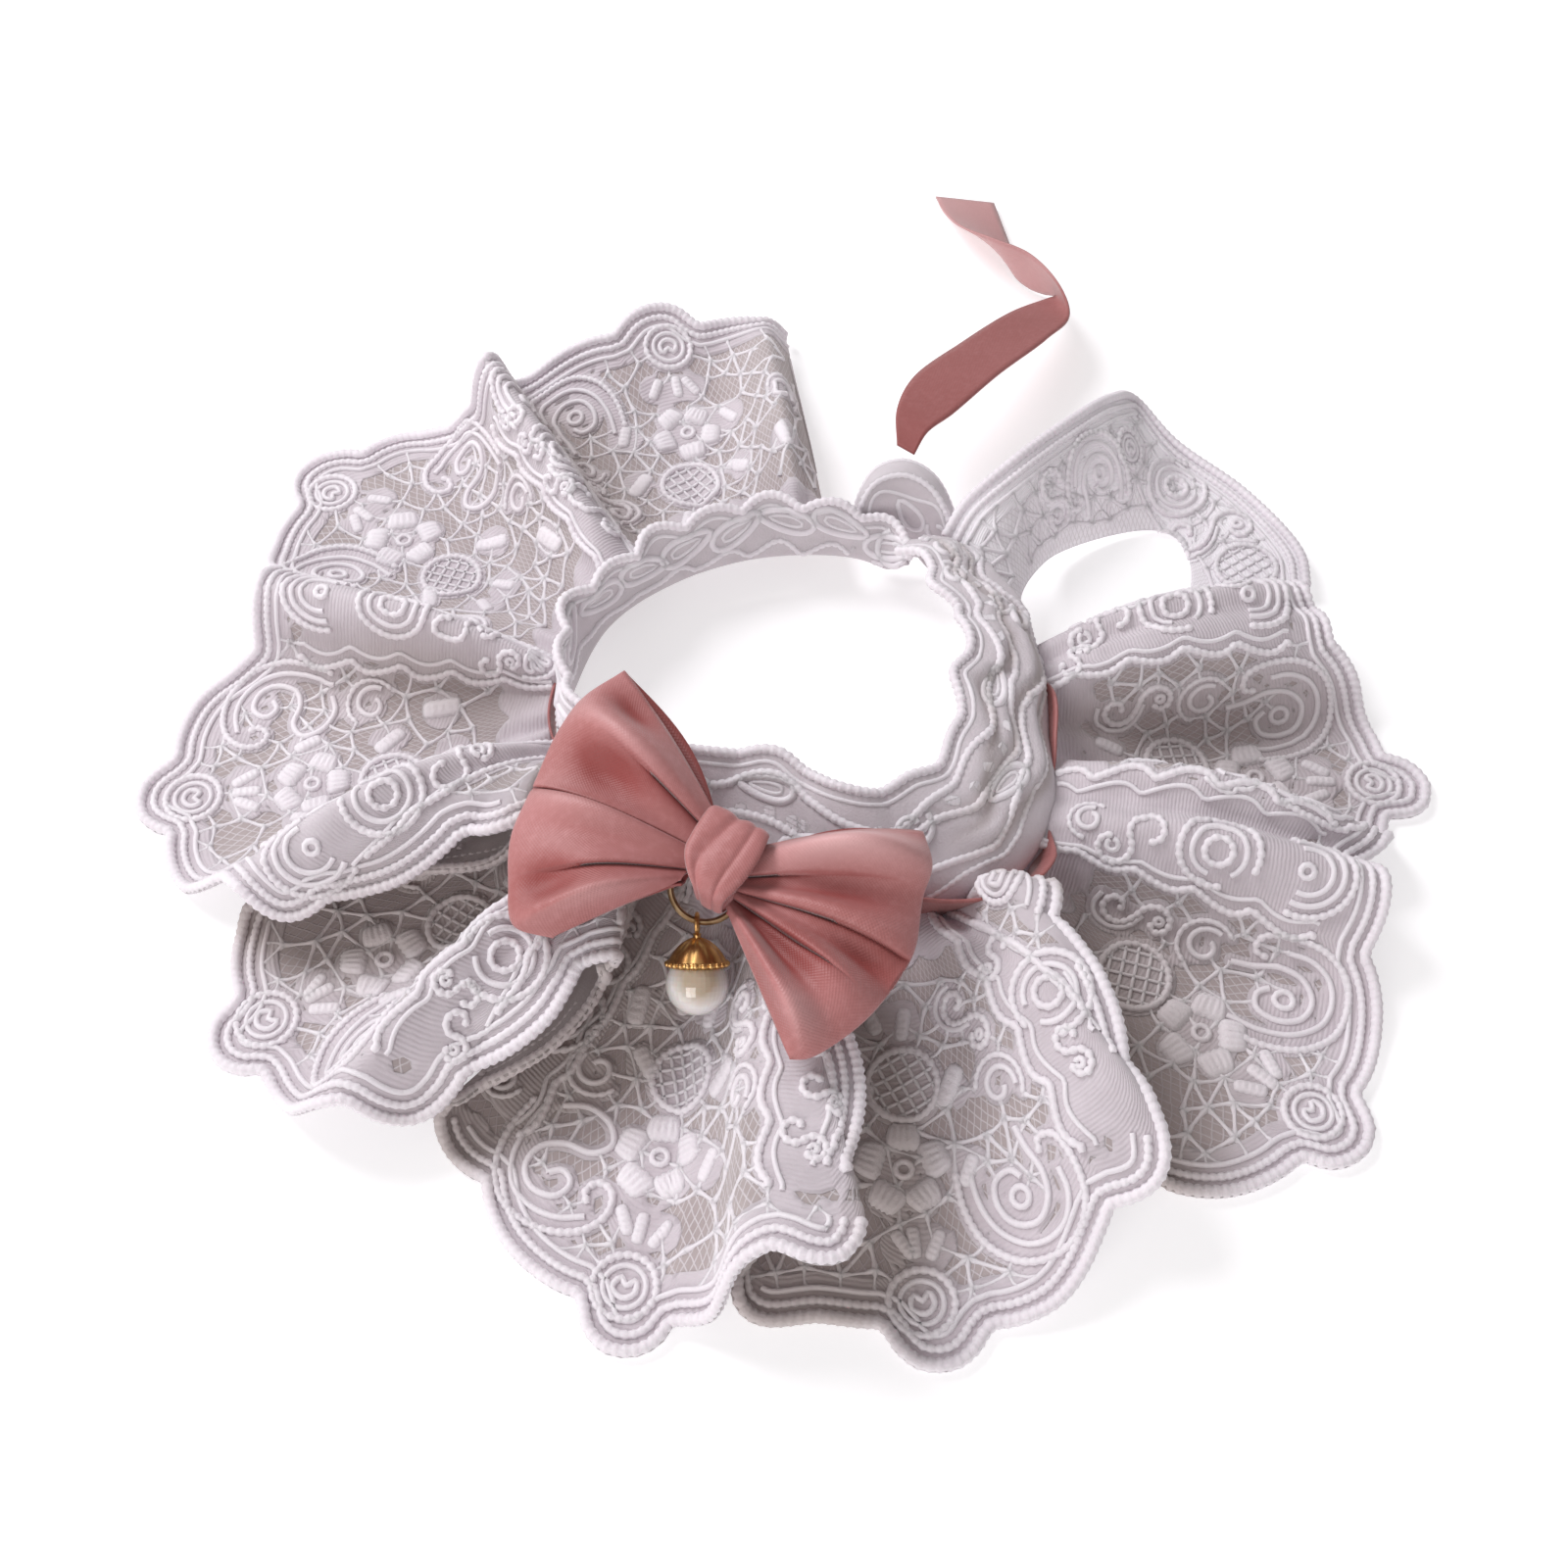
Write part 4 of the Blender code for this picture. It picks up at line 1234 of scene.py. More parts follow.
def s_scroll():
    """Two curls that turn opposite ways, joined by a double line."""
    line = [(-3.2, -0.6), (-5.2, 0.6), (-7.0, -1.0), (-6.4, -4.0), (-3.2, -5.2), (-0.4, -3.0),
            (0.2, 0.6), (1.8, 4.2), (5.2, 5.0), (7.6, 2.6), (6.6, -0.4), (4.2, -0.4),
            (3.8, 1.8)]
    second = [(-1.0, -0.8), (-0.2, 3.4), (2.6, 6.6), (6.4, 7.0), (9.2, 4.4), (9.4, 0.8)]
    return [
        (smooth(line), 0.6, False, 1.3),
        (smooth(second), 0.48, False, 0.0),
        ring(-4.6, -2.2, 0.9, 0.5),
    ]


def nested(radii=(7.6, 5.7, 3.8)):
    """Arcs one inside another that open away from the hem."""
    strokes = []
    for k, radius in enumerate(radii):
        strokes.append((arc(0, 0, radius, 160, 380), 0.62 - 0.06 * k, False, 1.4 * (k == 0)))
    strokes.append(ring(0, 0.4, 1.1, 0.55))
    return strokes


def medallion(size=1.0):
    strokes = [ring(0, 0, 4.5 * size, 0.6, 1.3), ring(0, 0, 3.0 * size, 0.45)]
    heart = [(-1.6, -0.6), (-0.9, 1.2), (0.2, 0.2), (1.2, 1.3), (1.7, -0.4), (0.2, -1.6)]
    strokes.append((smooth(heart, 0.7, True), 0.5, True, 0.0))
    return strokes


def concentric(size=1.0):
    """A curl of one long turn round a stitched ring."""
    return [
        (arc(0, 0, 6.4 * size, -120, 190, last=5.8 * size), 0.62, False, 1.4),
        (arc(0, 0, 4.4 * size, -150, 160, last=4.0 * size), 0.52, False, 0.0),
        ring(0, 0, 2.2 * size, 0.6, 1.3),
    ]


def s_curl(size=1.0, flip=1):
    top = arc(0, 3.4, 3.4, 250, -30, last=1.6)
    low = arc(0, -3.4, 3.4, 70, -210, last=1.6)[::-1]
    line = [(flip * size * x, size * y) for x, y in low + top]
    inner = [(flip * size * x, size * y) for x, y in arc(0, 3.2, 1.0, 0, 330)]
    return [(line, 0.6, False, 1.3), (inner, 0.5, False, 0.0)]


def drop_loop(length=8.0, width=3.4, turn=0.0, x=0.0, y=0.0, cord=0.5, bump=0.0):
    """A closed loop, narrower at one end."""
    spin = math.radians(turn)
    points = []
    for k in range(36):
        angle = math.tau * k / 36
        out = length * (0.5 - 0.5 * math.cos(angle))
        side = width * 0.5 * math.sin(angle) * (0.45 + 0.55 * (out / length))
        points.append(Vector((
            x + out * math.cos(spin) - side * math.sin(spin),
            y + out * math.sin(spin) + side * math.cos(spin),
            0.0,
        )))
    return [([(p.x, p.y) for p in evened(points, 0.85, True)], cord, True, bump)]


def fan(size=1.0):
    strokes = []
    for k in range(5):
        strokes += drop_loop(6.2 * size, 2.6 * size, 18 + 36 * k, cord=0.48)
    strokes.append((arc(0, 0, 8.0 * size, 5, 175), 0.55, False, 1.3))
    return strokes


def woven_disc(reach=5.4, gap=2.0):
    strokes = [ring(0, 0, reach, 0.6, 1.3)]
    for k in range(-2, 3):
        half = math.sqrt(reach ** 2 - (k * gap) ** 2)
        line = [(-half + half * j / 3, k * gap) for j in range(7)]
        strokes.append((line, 0.3, False, 0.0))
        strokes.append(([(b, a) for a, b in line], 0.3, False, 0.0))
    return strokes


# ================================================================ satin-stitched pads
class Pads:
    """Raised pads of satin stitch, with ribs across them, joined in one mesh."""

    def __init__(self):
        self.points = []
        self.faces = []
        self.centres = []

    def add(self, lay, x, y, turn, length, width, height=0.75, ribs=4, taper=0.0):
        """A pad on the cloth; lay gives the place of a point of the shape at a height."""
        long_count = 4 * ribs + 1
        wide_count = 6
        spin = math.radians(turn)
        start = len(self.points)
        for side in (1, -1):
            for i in range(long_count):
                u = 2 * i / (long_count - 1) - 1
                for j in range(wide_count):
                    v = 2 * j / (wide_count - 1) - 1
                    round_end = math.sqrt(max(0.0, 1 - abs(u) ** 4))
                    stitch = 0.06 * math.cos(math.tau * ribs * (u + 1) / 2) * abs(v)
                    a = length / 2 * u * (1 - taper * v) * (1 - 0.1 * v * v)
                    b = width / 2 * v * (0.72 + 0.28 * round_end + stitch)
                    dome = (1 - abs(u) ** 6) * (1 - abs(v) ** 5)
                    rib = 0.72 + 0.28 * abs(math.sin(math.pi * ribs * (u + 1) / 2))
                    lift = 0.25 + height * dome * rib if side > 0 else -0.2
                    self.points.append(lay(
                        x + a * math.cos(spin) - b * math.sin(spin),
                        y + a * math.sin(spin) + b * math.cos(spin),
                        lift,
                    ))
        layer = long_count * wide_count
        for i in range(long_count - 1):
            for j in range(wide_count - 1):
                c = start + i * wide_count + j
                quad = (c, c + wide_count, c + wide_count + 1, c + 1)
                self.faces.append(quad)
                self.faces.append(tuple(k + layer for k in quad[::-1]))
        rim = [start + i * wide_count for i in range(long_count)]
        rim += [start + (long_count - 1) * wide_count + j for j in range(1, wide_count)]
        rim += [start + i * wide_count + wide_count - 1 for i in range(long_count - 2, -1, -1)]
        rim += [start + j for j in range(wide_count - 2, 0, -1)]
        for a, b in zip(rim, rim[1:] + rim[:1]):
            self.faces.append((b, a, a + layer, b + layer))
        self.centres.append((lay(x, y, 0.0), max(length, width) / 2))

    def made(self, name, finish, body, slot):
        mesh = bpy.data.meshes.new(name)
        mesh.from_pydata([p * MM for p in self.points], [], self.faces)
        made = show(name, mesh, finish, body)
        bpy.ops.object.select_all(action="DESELECT")
        made.select_set(True)
        bpy.context.view_layer.objects.active = made
        bpy.ops.object.mode_set(mode="EDIT")
        bpy.ops.mesh.select_all(action="SELECT")
        bpy.ops.mesh.normals_make_consistent(inside=False)
        bpy.ops.object.mode_set(mode="OBJECT")
        mesh.shade_smooth()
        return made


# ================================================================ laying lace on the cloth
# How often a knot of the net is tried for.
KNOT_TRIES = 26000


class Lace:
    """The lace worked on one cloth."""

    def __init__(self, cloth, counts, covered, seed, lift=CORD_LIFT):
        self.cloth = cloth
        self.lift = lift
        self.counts = np.array(counts)
        self.covered = covered
        self.chance = random.Random(seed)
        self.least_step = 0.0
        self.taken = []
        self.hem = tree_of(cloth.edge())
        self.borders = Cords()
        self.scrolls = Cords()
        self.stitched = Cords()
        self.net = Cords()
        self.pads = Pads()
        points = cloth.points
        gaps = np.linalg.norm(np.diff(points, axis=1), axis=2)
        self.from_hem = np.concatenate(
            [np.cumsum(gaps[:, ::-1], axis=1)[:, ::-1], np.zeros((cloth.columns, 1))], axis=1
        )

    def column_of(self, repeat):
        return float(np.interp(repeat, self.counts, np.arange(self.cloth.columns)))

    def place(self, repeat, distance):
        """The place at a repeat count and a distance from the hem: its frame on the cloth."""
        column = min(max(round(self.column_of(repeat)), 1), self.cloth.columns - 2)
        reach = self.from_hem[column][::-1]
        if distance > reach[-1]:
            return None
        row = float(np.interp(distance, reach, np.arange(self.cloth.rows)[::-1]))
        low = min(int(row), self.cloth.rows - 2)
        line = self.cloth.points[column]
        at = Vector(line[low] + (line[low + 1] - line[low]) * (row - low))
        inward = Vector(line[low] - line[low + 1]).normalized()
        points = self.cloth.points
        over = Vector(points[column + 1, low] - points[column - 1, low])
        normal = over.cross(inward)
        if normal.length < 1e-6 or over.length < self.least_step:
            return None
        normal.normalize()
        over = inward.cross(normal).normalized()
        return at, normal, over, inward, column

    def room(self, repeat, distance, reach):
        """Whether a shape of that reach has room at a place, which it then takes."""
        spot = self.place(repeat, distance)
        if spot is None or self.covered[spot[4]]:
            return False
        at, normal = spot[:2]
        if self.hem.find(at)[2] < HEM_SHARE * reach + HEM_GAP:
            return False
        for place, up, other in self.taken:
            if (at - place).length < ROOM_OVERLAP * (reach + other) and up.dot(normal) > 0.0:
                return False
        self.taken.append((at, normal, reach))
        return True

    def laid(self, spot, turn=0.0, size=1.0, shift=0.0):
        """A function from a shape's x and y, and a height, to the place on the cloth."""
        at, normal, over, inward, _ = spot
        spin = math.radians(turn)

        def lay(x, y, lift):
            x, y = x * size, (y - shift) * size
            a = x * math.cos(spin) - y * math.sin(spin)
            b = x * math.sin(spin) + y * math.cos(spin)
            distance = math.hypot(a, b)
            if distance < 0.05:
                return at + normal * lift
            way = over * (a / distance) + inward * (b / distance)
            place, up = self.cloth.walk(at, normal, way, distance)
            return place + up * lift

        return lay

    def motif(self, strokes, repeat, distance, turn=0.0, size=1.0, shift=0.0):
        """A shape laid with its origin, or the point shift from it, at that place."""
        spot = self.place(repeat, distance)
        if spot is None or self.covered[spot[4]]:
            return
        lay = self.laid(spot, turn, size, shift)
        for points, radius, closed, bump in strokes:
            line = [lay(x, y, self.lift) for x, y in points]
            (self.stitched if bump else self.scrolls).add(line, radius, closed, bump, 0.30)

    def flower(self, repeat, distance, turn=0.0, size=1.0):
        spot = self.place(repeat, distance)
        if spot is None or self.covered[spot[4]]:
            return
        lay = self.laid(spot, turn, size)
        for k in range(5):
            angle = 72 * k + 18 + self.chance.uniform(-5, 5)
            out = 4.9 + self.chance.uniform(-0.3, 0.3)
            x = out * math.cos(math.radians(angle))
            y = out * math.sin(math.radians(angle))
            long = 5.2 + self.chance.uniform(-0.5, 0.3)
            self.pads.add(lay, x, y, angle + 90, long, 4.3, 0.8, 5, -0.12)
        line = [lay(x, y, self.lift) for x, y in ring(0, 0, 1.2)[0]]
        self.scrolls.add(line, 0.5, True)

    def leaf(self, repeat, distance, turn, length=6.5, width=3.0, size=1.0):
        spot = self.place(repeat, distance)
        if spot is None or self.covered[spot[4]]:
            return
        self.pads.add(self.laid(spot, turn, size), 0.0, 0.0, 0.0, length, width, 0.6, 5)

    def line_at(self, path, cords, radius, bump=0.0, depth=0.22, step=0.9):
        """A cord along a path of repeats and distances from the hem."""
        points = self.cloth.points
        lines = [[]]
        for repeat, distance in path:
            column = self.column_of(repeat)
            low = min(max(int(column), 0), self.cloth.columns - 2)
            spot = self.place(repeat, distance)
            if self.covered[low] or distance > self.from_hem[low, 0] or spot is None:
                lines.append([])
                continue
            ends = []
            for k in (low, low + 1):
                row = np.interp(distance, self.from_hem[k][::-1], np.arange(self.cloth.rows)[::-1])
                j = min(int(row), self.cloth.rows - 2)
                ends.append(points[k, j] + (points[k, j + 1] - points[k, j]) * (row - j))
            place = Vector(ends[0] + (ends[1] - ends[0]) * min(max(column - low, 0.0), 1.0))
            lines[-1].append(place + spot[1] * self.lift)
        for line in lines:
            if len(line) > 3:
                cords.add(evened(line, step), radius, False, bump, depth)

    # ------------------------------------------------------------ cords along the hem
    def hem_line(self, distance, step):
        """Lines that stay that far inside the hem: broken where the hem leaves no room."""
        points = self.cloth.points
        hem = evened(self.cloth.edge(), step)
        along = np.array(lengths_along(self.cloth.edge()))
        at = np.array(lengths_along(hem))
        columns = np.interp(at, along, np.arange(self.cloth.columns))
        made = []
        for k, point in enumerate(hem):
            before = hem[max(k - 1, 0)]
            after = hem[min(k + 1, len(hem) - 1)]
            column = min(int(round(columns[k])), self.cloth.columns - 1)
            inward = Vector(points[column, -4] - points[column, -1])
            over = (after - before).normalized()
            inward -= over * inward.dot(over)
            normal = over.cross(inward).normalized()
            place, up = self.cloth.walk(point, normal, inward, distance, 1.5)
            made.append((place, up))
        flat = np.array([tuple(p) for p in hem])
        kept = []
        for k, (place, up) in enumerate(made):
            window = flat[max(0, k - 45):k + 46]
            near = np.linalg.norm(window - np.array(tuple(place)), axis=1).min()
            if near > distance * 0.93 - 0.05:
                kept.append((k, place + up * self.lift))
        lines = []
        line = []
        for k, place in kept:
            if line and (place - line[-1]).length > 5.0:
                lines.append(line)
                line = []
            line.append(place)
        lines.append(line)
        return [line for line in lines if len(line) > 6]

    def edge_cords(self, table):
        for distance, radius, bump, depth in table:
            for line in self.hem_line(distance, 0.8):
                line = evened(line, 0.8)
                self.borders.add(line, radius, False, bump, depth)

    # ------------------------------------------------------------ the net between the shapes
    def add_net(self, spacing, inner, outer, reach=1.6, plain=None):
        """Stitched bars between the shapes, meeting at uneven knots."""
        points = self.cloth.points
        samples = self.borders.samples() + self.scrolls.samples() + self.stitched.samples()
        solid = [(p, reach) for p in samples]
        solid += self.pads.centres
        tree = tree_of([p for p, _ in solid])
        knots = []
        places = []
        chance = self.chance
        for _ in range(KNOT_TRIES):
            column = chance.uniform(1, self.cloth.columns - 2)
            row = chance.uniform(0, self.cloth.rows - 1.001)
            i, j = int(column), int(row)
            distance = self.from_hem[i, j]
            if self.covered[i] or distance < inner or self.from_hem[i, 0] - distance < outer:
                continue
            if plain and plain(i, j) > -0.4 * spacing:
                continue
            a, b = column - i, row - j
            near = points[i, j] * (1 - a) * (1 - b) + points[i + 1, j] * a * (1 - b)
            near = near + points[i, j + 1] * (1 - a) * b + points[i + 1, j + 1] * a * b
            place = Vector(near)
            _, index, gap = tree.find(place)
            if gap < solid[index][1]:
                continue
            if any((place - other).length < spacing for other in places):
                continue
            places.append(place)
            knots.append((place, i, j))
        self.join_knots(knots, tree, spacing)

    def join_knots(self, knots, tree, spacing):
        """Bars from each knot to the knots near it and to the shapes beside it."""
        grid = tree_of([place for place, _, _ in knots])
        taken = {k: [] for k in range(len(knots))}
        for k, (place, column, row) in enumerate(knots):
            for other_place, other, gap in grid.find_range(place, spacing * 1.75):
                if other <= k or gap < 0.1:
                    continue
                if abs(knots[other][1] - column) > 14 or abs(knots[other][2] - row) > 9:
                    continue
                way = (other_place - place).normalized()
                clear = all(way.dot(old) < 0.80 for old in taken[k])
                clear = clear and all(-way.dot(old) < 0.80 for old in taken[other])
                if clear:
                    taken[k].append(way)
                    taken[other].append(-way)
                    self.bar(place, other_place)
            for end, _, gap in tree.find_n(place, 40):
                if 0.8 < gap < spacing * 1.35:
                    way = (end - place).normalized()
                    if all(way.dot(old) < 0.62 for old in taken[k]):
                        taken[k].append(way)
                        self.bar(place, end)

    def bar(self, a, b):
        """A stitched bar along the cloth, a little bowed and thicker at its ends."""
        middle = []
        gap = (b - a).length
        count = max(3, math.ceil(gap / 1.9))
        bow = self.chance.uniform(-0.25, 0.25)
        for k in range(count + 1):
            share = k / count
            place, normal = self.cloth.nearest(a.lerp(b, share))
            side = normal.cross((b - a).normalized())
            middle.append(place + side * bow * 4 * share * (1 - share))
        radii = [0.40 + 0.32 * abs(2 * k / count - 1) ** 4 for k in range(count + 1)]
        self.net.lines.append((middle, radii, False))

    # ------------------------------------------------------------ the solid parts of the cloth
    def solid_cloth(self, fills, plain):
        """The cloth's solid parts: near its cords and pads and in its plain fields."""
        cloth = self.cloth
        spots = [(p, fills[0]) for p in self.borders.samples()]
        spots += [(p, fills[1]) for p in self.scrolls.samples() + self.stitched.samples()]
        spots += [(p, size + 0.6) for p, size in self.pads.centres]
        tree = tree_of([p for p, _ in spots])
        flat = cloth.points.reshape(-1, 3)
        inside = np.full(len(flat), -9.0)
        for k, point in enumerate(flat):
            column, row = divmod(k, cloth.rows)
            best = max(spots[i][1] - gap for _, i, gap in tree.find_n(point, 6))
            best = max(best, plain(column, row))
            if self.covered[column]:
                best = max(best, 9.0)
            inside[k] = best
        return inside


def trimmed(name, cloth, inside, wall, finish, body, stands_for=()):
    """The parts of a cloth where the field is above nought, cut along the line of nought."""
    flat = cloth.points.reshape(-1, 3)
    places = []
    tags = []
    known = {}

    def corner(k):
        if k not in known:
            known[k] = len(places)
            places.append(Vector(flat[k]))
            tags.append(divmod(k, cloth.rows))
        return known[k]

    def crossing(a, b):
        key = (min(a, b), max(a, b))
        if key not in known:
            a, b = key
            share = min(max(inside[a] / (inside[a] - inside[b]), 0.06), 0.94)
            known[key] = len(places)
            places.append(Vector(flat[a]).lerp(Vector(flat[b]), share))
            column, row = divmod(a, cloth.rows)
            next_column, next_row = divmod(b, cloth.rows)
            tags.append((column + (next_column - column) * share, row + (next_row - row) * share))
        return known[key]

    faces = []
    for quad in cloth.quads:
        signs = [inside[k] > 0 for k in quad]
        if all(signs):
            faces.append(tuple(corner(k) for k in quad))
            continue
        if not any(signs):
            continue
        face = []
        for k in range(4):
            a, b = quad[k], quad[(k + 1) % 4]
            if inside[a] > 0:
                face.append(corner(a))
            if (inside[a] > 0) != (inside[b] > 0):
                face.append(crossing(a, b))
        faces.append(tuple(face))
    mesh = bpy.data.meshes.new(name)
    mesh.from_pydata([p * MM for p in places], [], faces)
    layer = mesh.uv_layers.new(name="weave")
    for loop in mesh.loops:
        column, row = tags[loop.vertex_index]
        layer.data[loop.index].uv = (column * COLUMN_STEP * MM, row * COLUMN_STEP * MM)
    made = show(name, mesh, finish, body, stands_for)
    thicken = made.modifiers.new("wall", "SOLIDIFY")
    thicken.thickness = wall * MM
    thicken.offset = 0.0
    thicken.use_even_offset = False
    apply_modifiers(made)
    return made


# ================================================================ the camera and the light
VIEW_ELEVATION = 54.0
VIEW_DISTANCE = 0.3
VIEW_TARGET = (0.0001, -0.031, 0.0)
LENS = 40.5


def add_camera():
    data = bpy.data.cameras.new("camera")
    data.lens = LENS
    data.sensor_width = 36.0
    data.clip_start = 0.01
    camera = bpy.data.objects.new("camera", data)
    bpy.context.scene.collection.objects.link(camera)
    rise = math.radians(VIEW_ELEVATION)
    target = Vector(VIEW_TARGET)
    away = Vector((0.0, -math.cos(rise), math.sin(rise)))
    camera.location = target + away * VIEW_DISTANCE
    camera.rotation_euler = (math.radians(90.0 - VIEW_ELEVATION), 0.0, 0.0)
    bpy.context.scene.camera = camera


def add_lamp(name, place, size, power, colour):
    data = bpy.data.lights.new(name, "AREA")
    data.shape = "DISK"
    data.size = size
    data.energy = power
    data.color = colour
    lamp = bpy.data.objects.new(name, data)
    bpy.context.scene.collection.objects.link(lamp)
    lamp.location = place
    aim = Vector((0.0, -0.02, 0.0)) - lamp.location
    lamp.rotation_euler = aim.to_track_quat("-Z", "Y").to_euler()


# in metres
FLOOR_SIZE = 16.0
FLOOR_HEIGHT = -0.0004
# the strength of the world where it lights the scene, and where the camera sees it
SKY_AS_LIGHT = 0.42
SKY_AS_SEEN = 0.80
# name, place, size in metres, power in watts, colour
LAMPS = (
    ("window", (-0.46, 0.34, 0.62), 0.4, 5.2, (0.985, 0.97, 1.0)),
    ("side_window", (-0.40, -0.86, 0.42), 0.6, 4.0, (1.0, 0.975, 0.98)),
)


def add_studio():
    """The pale floor, the world and the two lamps."""
    bpy.ops.object.select_all(action="DESELECT")
    bpy.ops.mesh.primitive_plane_add(size=FLOOR_SIZE, location=(0.0, 0.0, FLOOR_HEIGHT))
    floor = bpy.context.object
    floor.name = "floor"
    bpy.ops.object.transform_apply(location=True, rotation=True, scale=True)
    finish = Finish(
        "pale_floor", (0.70, 0.695, 0.70), 0.9, Emission_Color=(1.0, 0.99, 1.0, 1.0),
        Emission_Strength=0.5,
    )
    floor.data.materials.append(finish.material)
    world = bpy.data.worlds.new("studio")
    world.use_nodes = True
    back = world.node_tree.nodes["Background"]
    back.inputs["Color"].default_value = (1.0, 0.98, 0.975, 1.0)
    seen = world.node_tree.nodes.new("ShaderNodeLightPath")
    glow = world.node_tree.nodes.new("ShaderNodeMapRange")
    glow.inputs["To Min"].default_value = SKY_AS_LIGHT
    glow.inputs["To Max"].default_value = SKY_AS_SEEN
    world.node_tree.links.new(seen.outputs["Is Camera Ray"], glow.inputs["Value"])
    world.node_tree.links.new(glow.outputs["Result"], back.inputs["Strength"])
    bpy.context.scene.world = world
    bpy.context.scene.view_settings.view_transform = "Standard"
    for lamp in LAMPS:
        add_lamp(*lamp)


# ================================================================ the whole scarf
# The shapes of one lace repeat: share of the repeat, distance from the hem to the middle of
# the shape, shape, turn, size
REPEAT_SHAPES = (
    (0.0, 9.6, "medallion", 0, 1.0),
    (0.225, 15.2, "u_scroll", 0, 1.0),
    (0.5, 13.4, "nested", 0, 1.0),
    (0.775, 15.4, "e_scroll", 0, 1.0),
    (0.0, 18.4, "drops", 0, 0.9),
    (0.0, 29.5, "flower", 0, 1.0),
    (0.02, 42.6, "disc", 20, 1.0),
    (0.15, 36.0, "leaf", 40, 1.0),
    (-0.14, 37.0, "leaf", 140, 1.0),
    (0.5, 27.5, "concentric", 0, 1.0),
    (0.5, 41.0, "s_curl", 20, 1.0),
    (0.5, 52.5, "fan", 0, 0.62),
    (0.27, 40.0, "s_scroll", 80, 0.72),
    (-0.27, 42.0, "leaf", 100, 1.1),
    (0.27, 28.5, "curl", 30, 0.9),
    (-0.28, 29.0, "curl", -150, 0.9),
    (0.13, 23.0, "leaf", 60, 0.8),
    (-0.13, 23.0, "leaf", 120, 0.8),
    (0.07, 50.0, "leaf", 70, 0.8),
    (-0.07, 50.5, "leaf", 110, 0.8),
)
SHAPES = {
    "curl": [(arc(0, 0, 3.6, -60, 300, last=1.2), 0.52, False, 0.0),
             (arc(0, 0, 4.9, -80, 120), 0.45, False, 1.3)],
    "medallion": medallion(),
    "e_scroll": e_scroll(),
    "u_scroll": u_scroll(),
    "nested": nested(),
    "s_scroll": s_scroll(),
    "concentric": concentric(),
    "s_curl": s_curl(),
    "fan": fan(),
    "disc": woven_disc(),
    "drops": drop_loop(6.5, 3.0, 60) + drop_loop(7.5, 3.2, 90) + drop_loop(6.5, 3.0, 120),
}
# How much room each shape needs about its middle, in millimetres.
REACHES = {
    "medallion": 5.0, "u_scroll": 9.0, "e_scroll": 9.0, "nested": 7.5, "flower": 7.2, "disc": 5.6,
    "leaf": 2.6, "drops": 5.0, "concentric": 6.4, "s_curl": 5.2, "fan": 5.0, "s_scroll": 6.0,
    "curl": 4.4,
}


def work_repeats(lace, first, last):
    """The shapes of each lace repeat, slightly uneven as sewn, where there is room for them."""
    for share, distance, kind, turn, size in REPEAT_SHAPES:
        for k in range(first, last):
            repeat = k + share
            if not lace.counts[1] < repeat < lace.counts[-2]:
                continue
            spin = turn + lace.chance.uniform(-7, 7)
            scale = size * lace.chance.uniform(0.95, 1.05)
            if not lace.room(repeat, distance, REACHES[kind] * size):
                continue
            if kind == "flower":
                lace.flower(repeat, distance, spin, scale)
            elif kind == "leaf":
                lace.leaf(repeat, distance, spin, size=scale)
            elif kind == "drops":
                for side in (-1, 0, 1):
                    lace.leaf(repeat + 0.034 * side, distance - 0.9 * abs(side),
                              90 - 32 * side, 5.6, 2.3, scale)
            else:
                lace.motif(SHAPES[kind], repeat, distance, spin, scale)


CREST_SHARES = (0.5, 0.445, 0.555)
CREST_DISTANCES = (14, 18, 22, 27, 32, 37, 42, 47, 52)
CURL_REACH = 3.5


def fill_crests(lace, first, last):
    """Small curls where the crests still have room for them."""
    for k in range(first, last):
        for share in CREST_SHARES:
            for distance in CREST_DISTANCES:
                repeat = k + share
                if not lace.counts[1] < repeat < lace.counts[-2]:
                    continue
                turn = lace.chance.uniform(0, 360)
                if not lace.room(repeat, distance, CURL_REACH):
                    continue
                if (distance + k) % 2:
                    lace.motif(SHAPES["curl"], repeat, distance, turn, 0.68)
                else:
                    lace.motif(SHAPES["s_curl"], repeat, distance, turn, 0.62)


add_camera()
add_studio()

# Each lace finish: its colour, a darker tone at random, and the painted shade of its folds.
lace_cord = lace_finish("lace_cord", (0.86, 0.81, 0.85), (0.77, 0.72, 0.76),
                        (0.46, 0.395, 0.37), 0.6)
# The fill is darker than the cords: partly the ground's own tone, partly painted shade of the
# grooves between the raised cords.
lace_fill = lace_finish("lace_fill", (0.64, 0.585, 0.62), (0.54, 0.49, 0.52),
                        (0.30, 0.25, 0.225), 0.8, "satin")
lace_smooth = lace_finish("lace_smooth", (0.66, 0.61, 0.64), (0.56, 0.515, 0.54),
                          (0.30, 0.25, 0.225), 0.75)
# The veil's finish is dark taupe: painted shade that darkens the ruffle's open cells where the lit
# floor would show; its fine net of threads is a texture.
lace_under = lace_finish("lace_under", (0.42, 0.365, 0.36), (0.35, 0.30, 0.295),
                         (0.20, 0.165, 0.145), 0.95, "net")
# These two lighter finishes are painted light: the end loop's lace is painted brighter than the
# ruffle's where it turns from the window.
lace_dense = lace_finish("lace_dense", (0.86, 0.82, 0.86), (0.76, 0.72, 0.76),
                         (0.46, 0.40, 0.37), 0.8, "net")
lace_bright = lace_finish("lace_bright", (0.90, 0.86, 0.90), (0.84, 0.80, 0.84),
                          (0.46, 0.40, 0.37), 0.8, "satin")
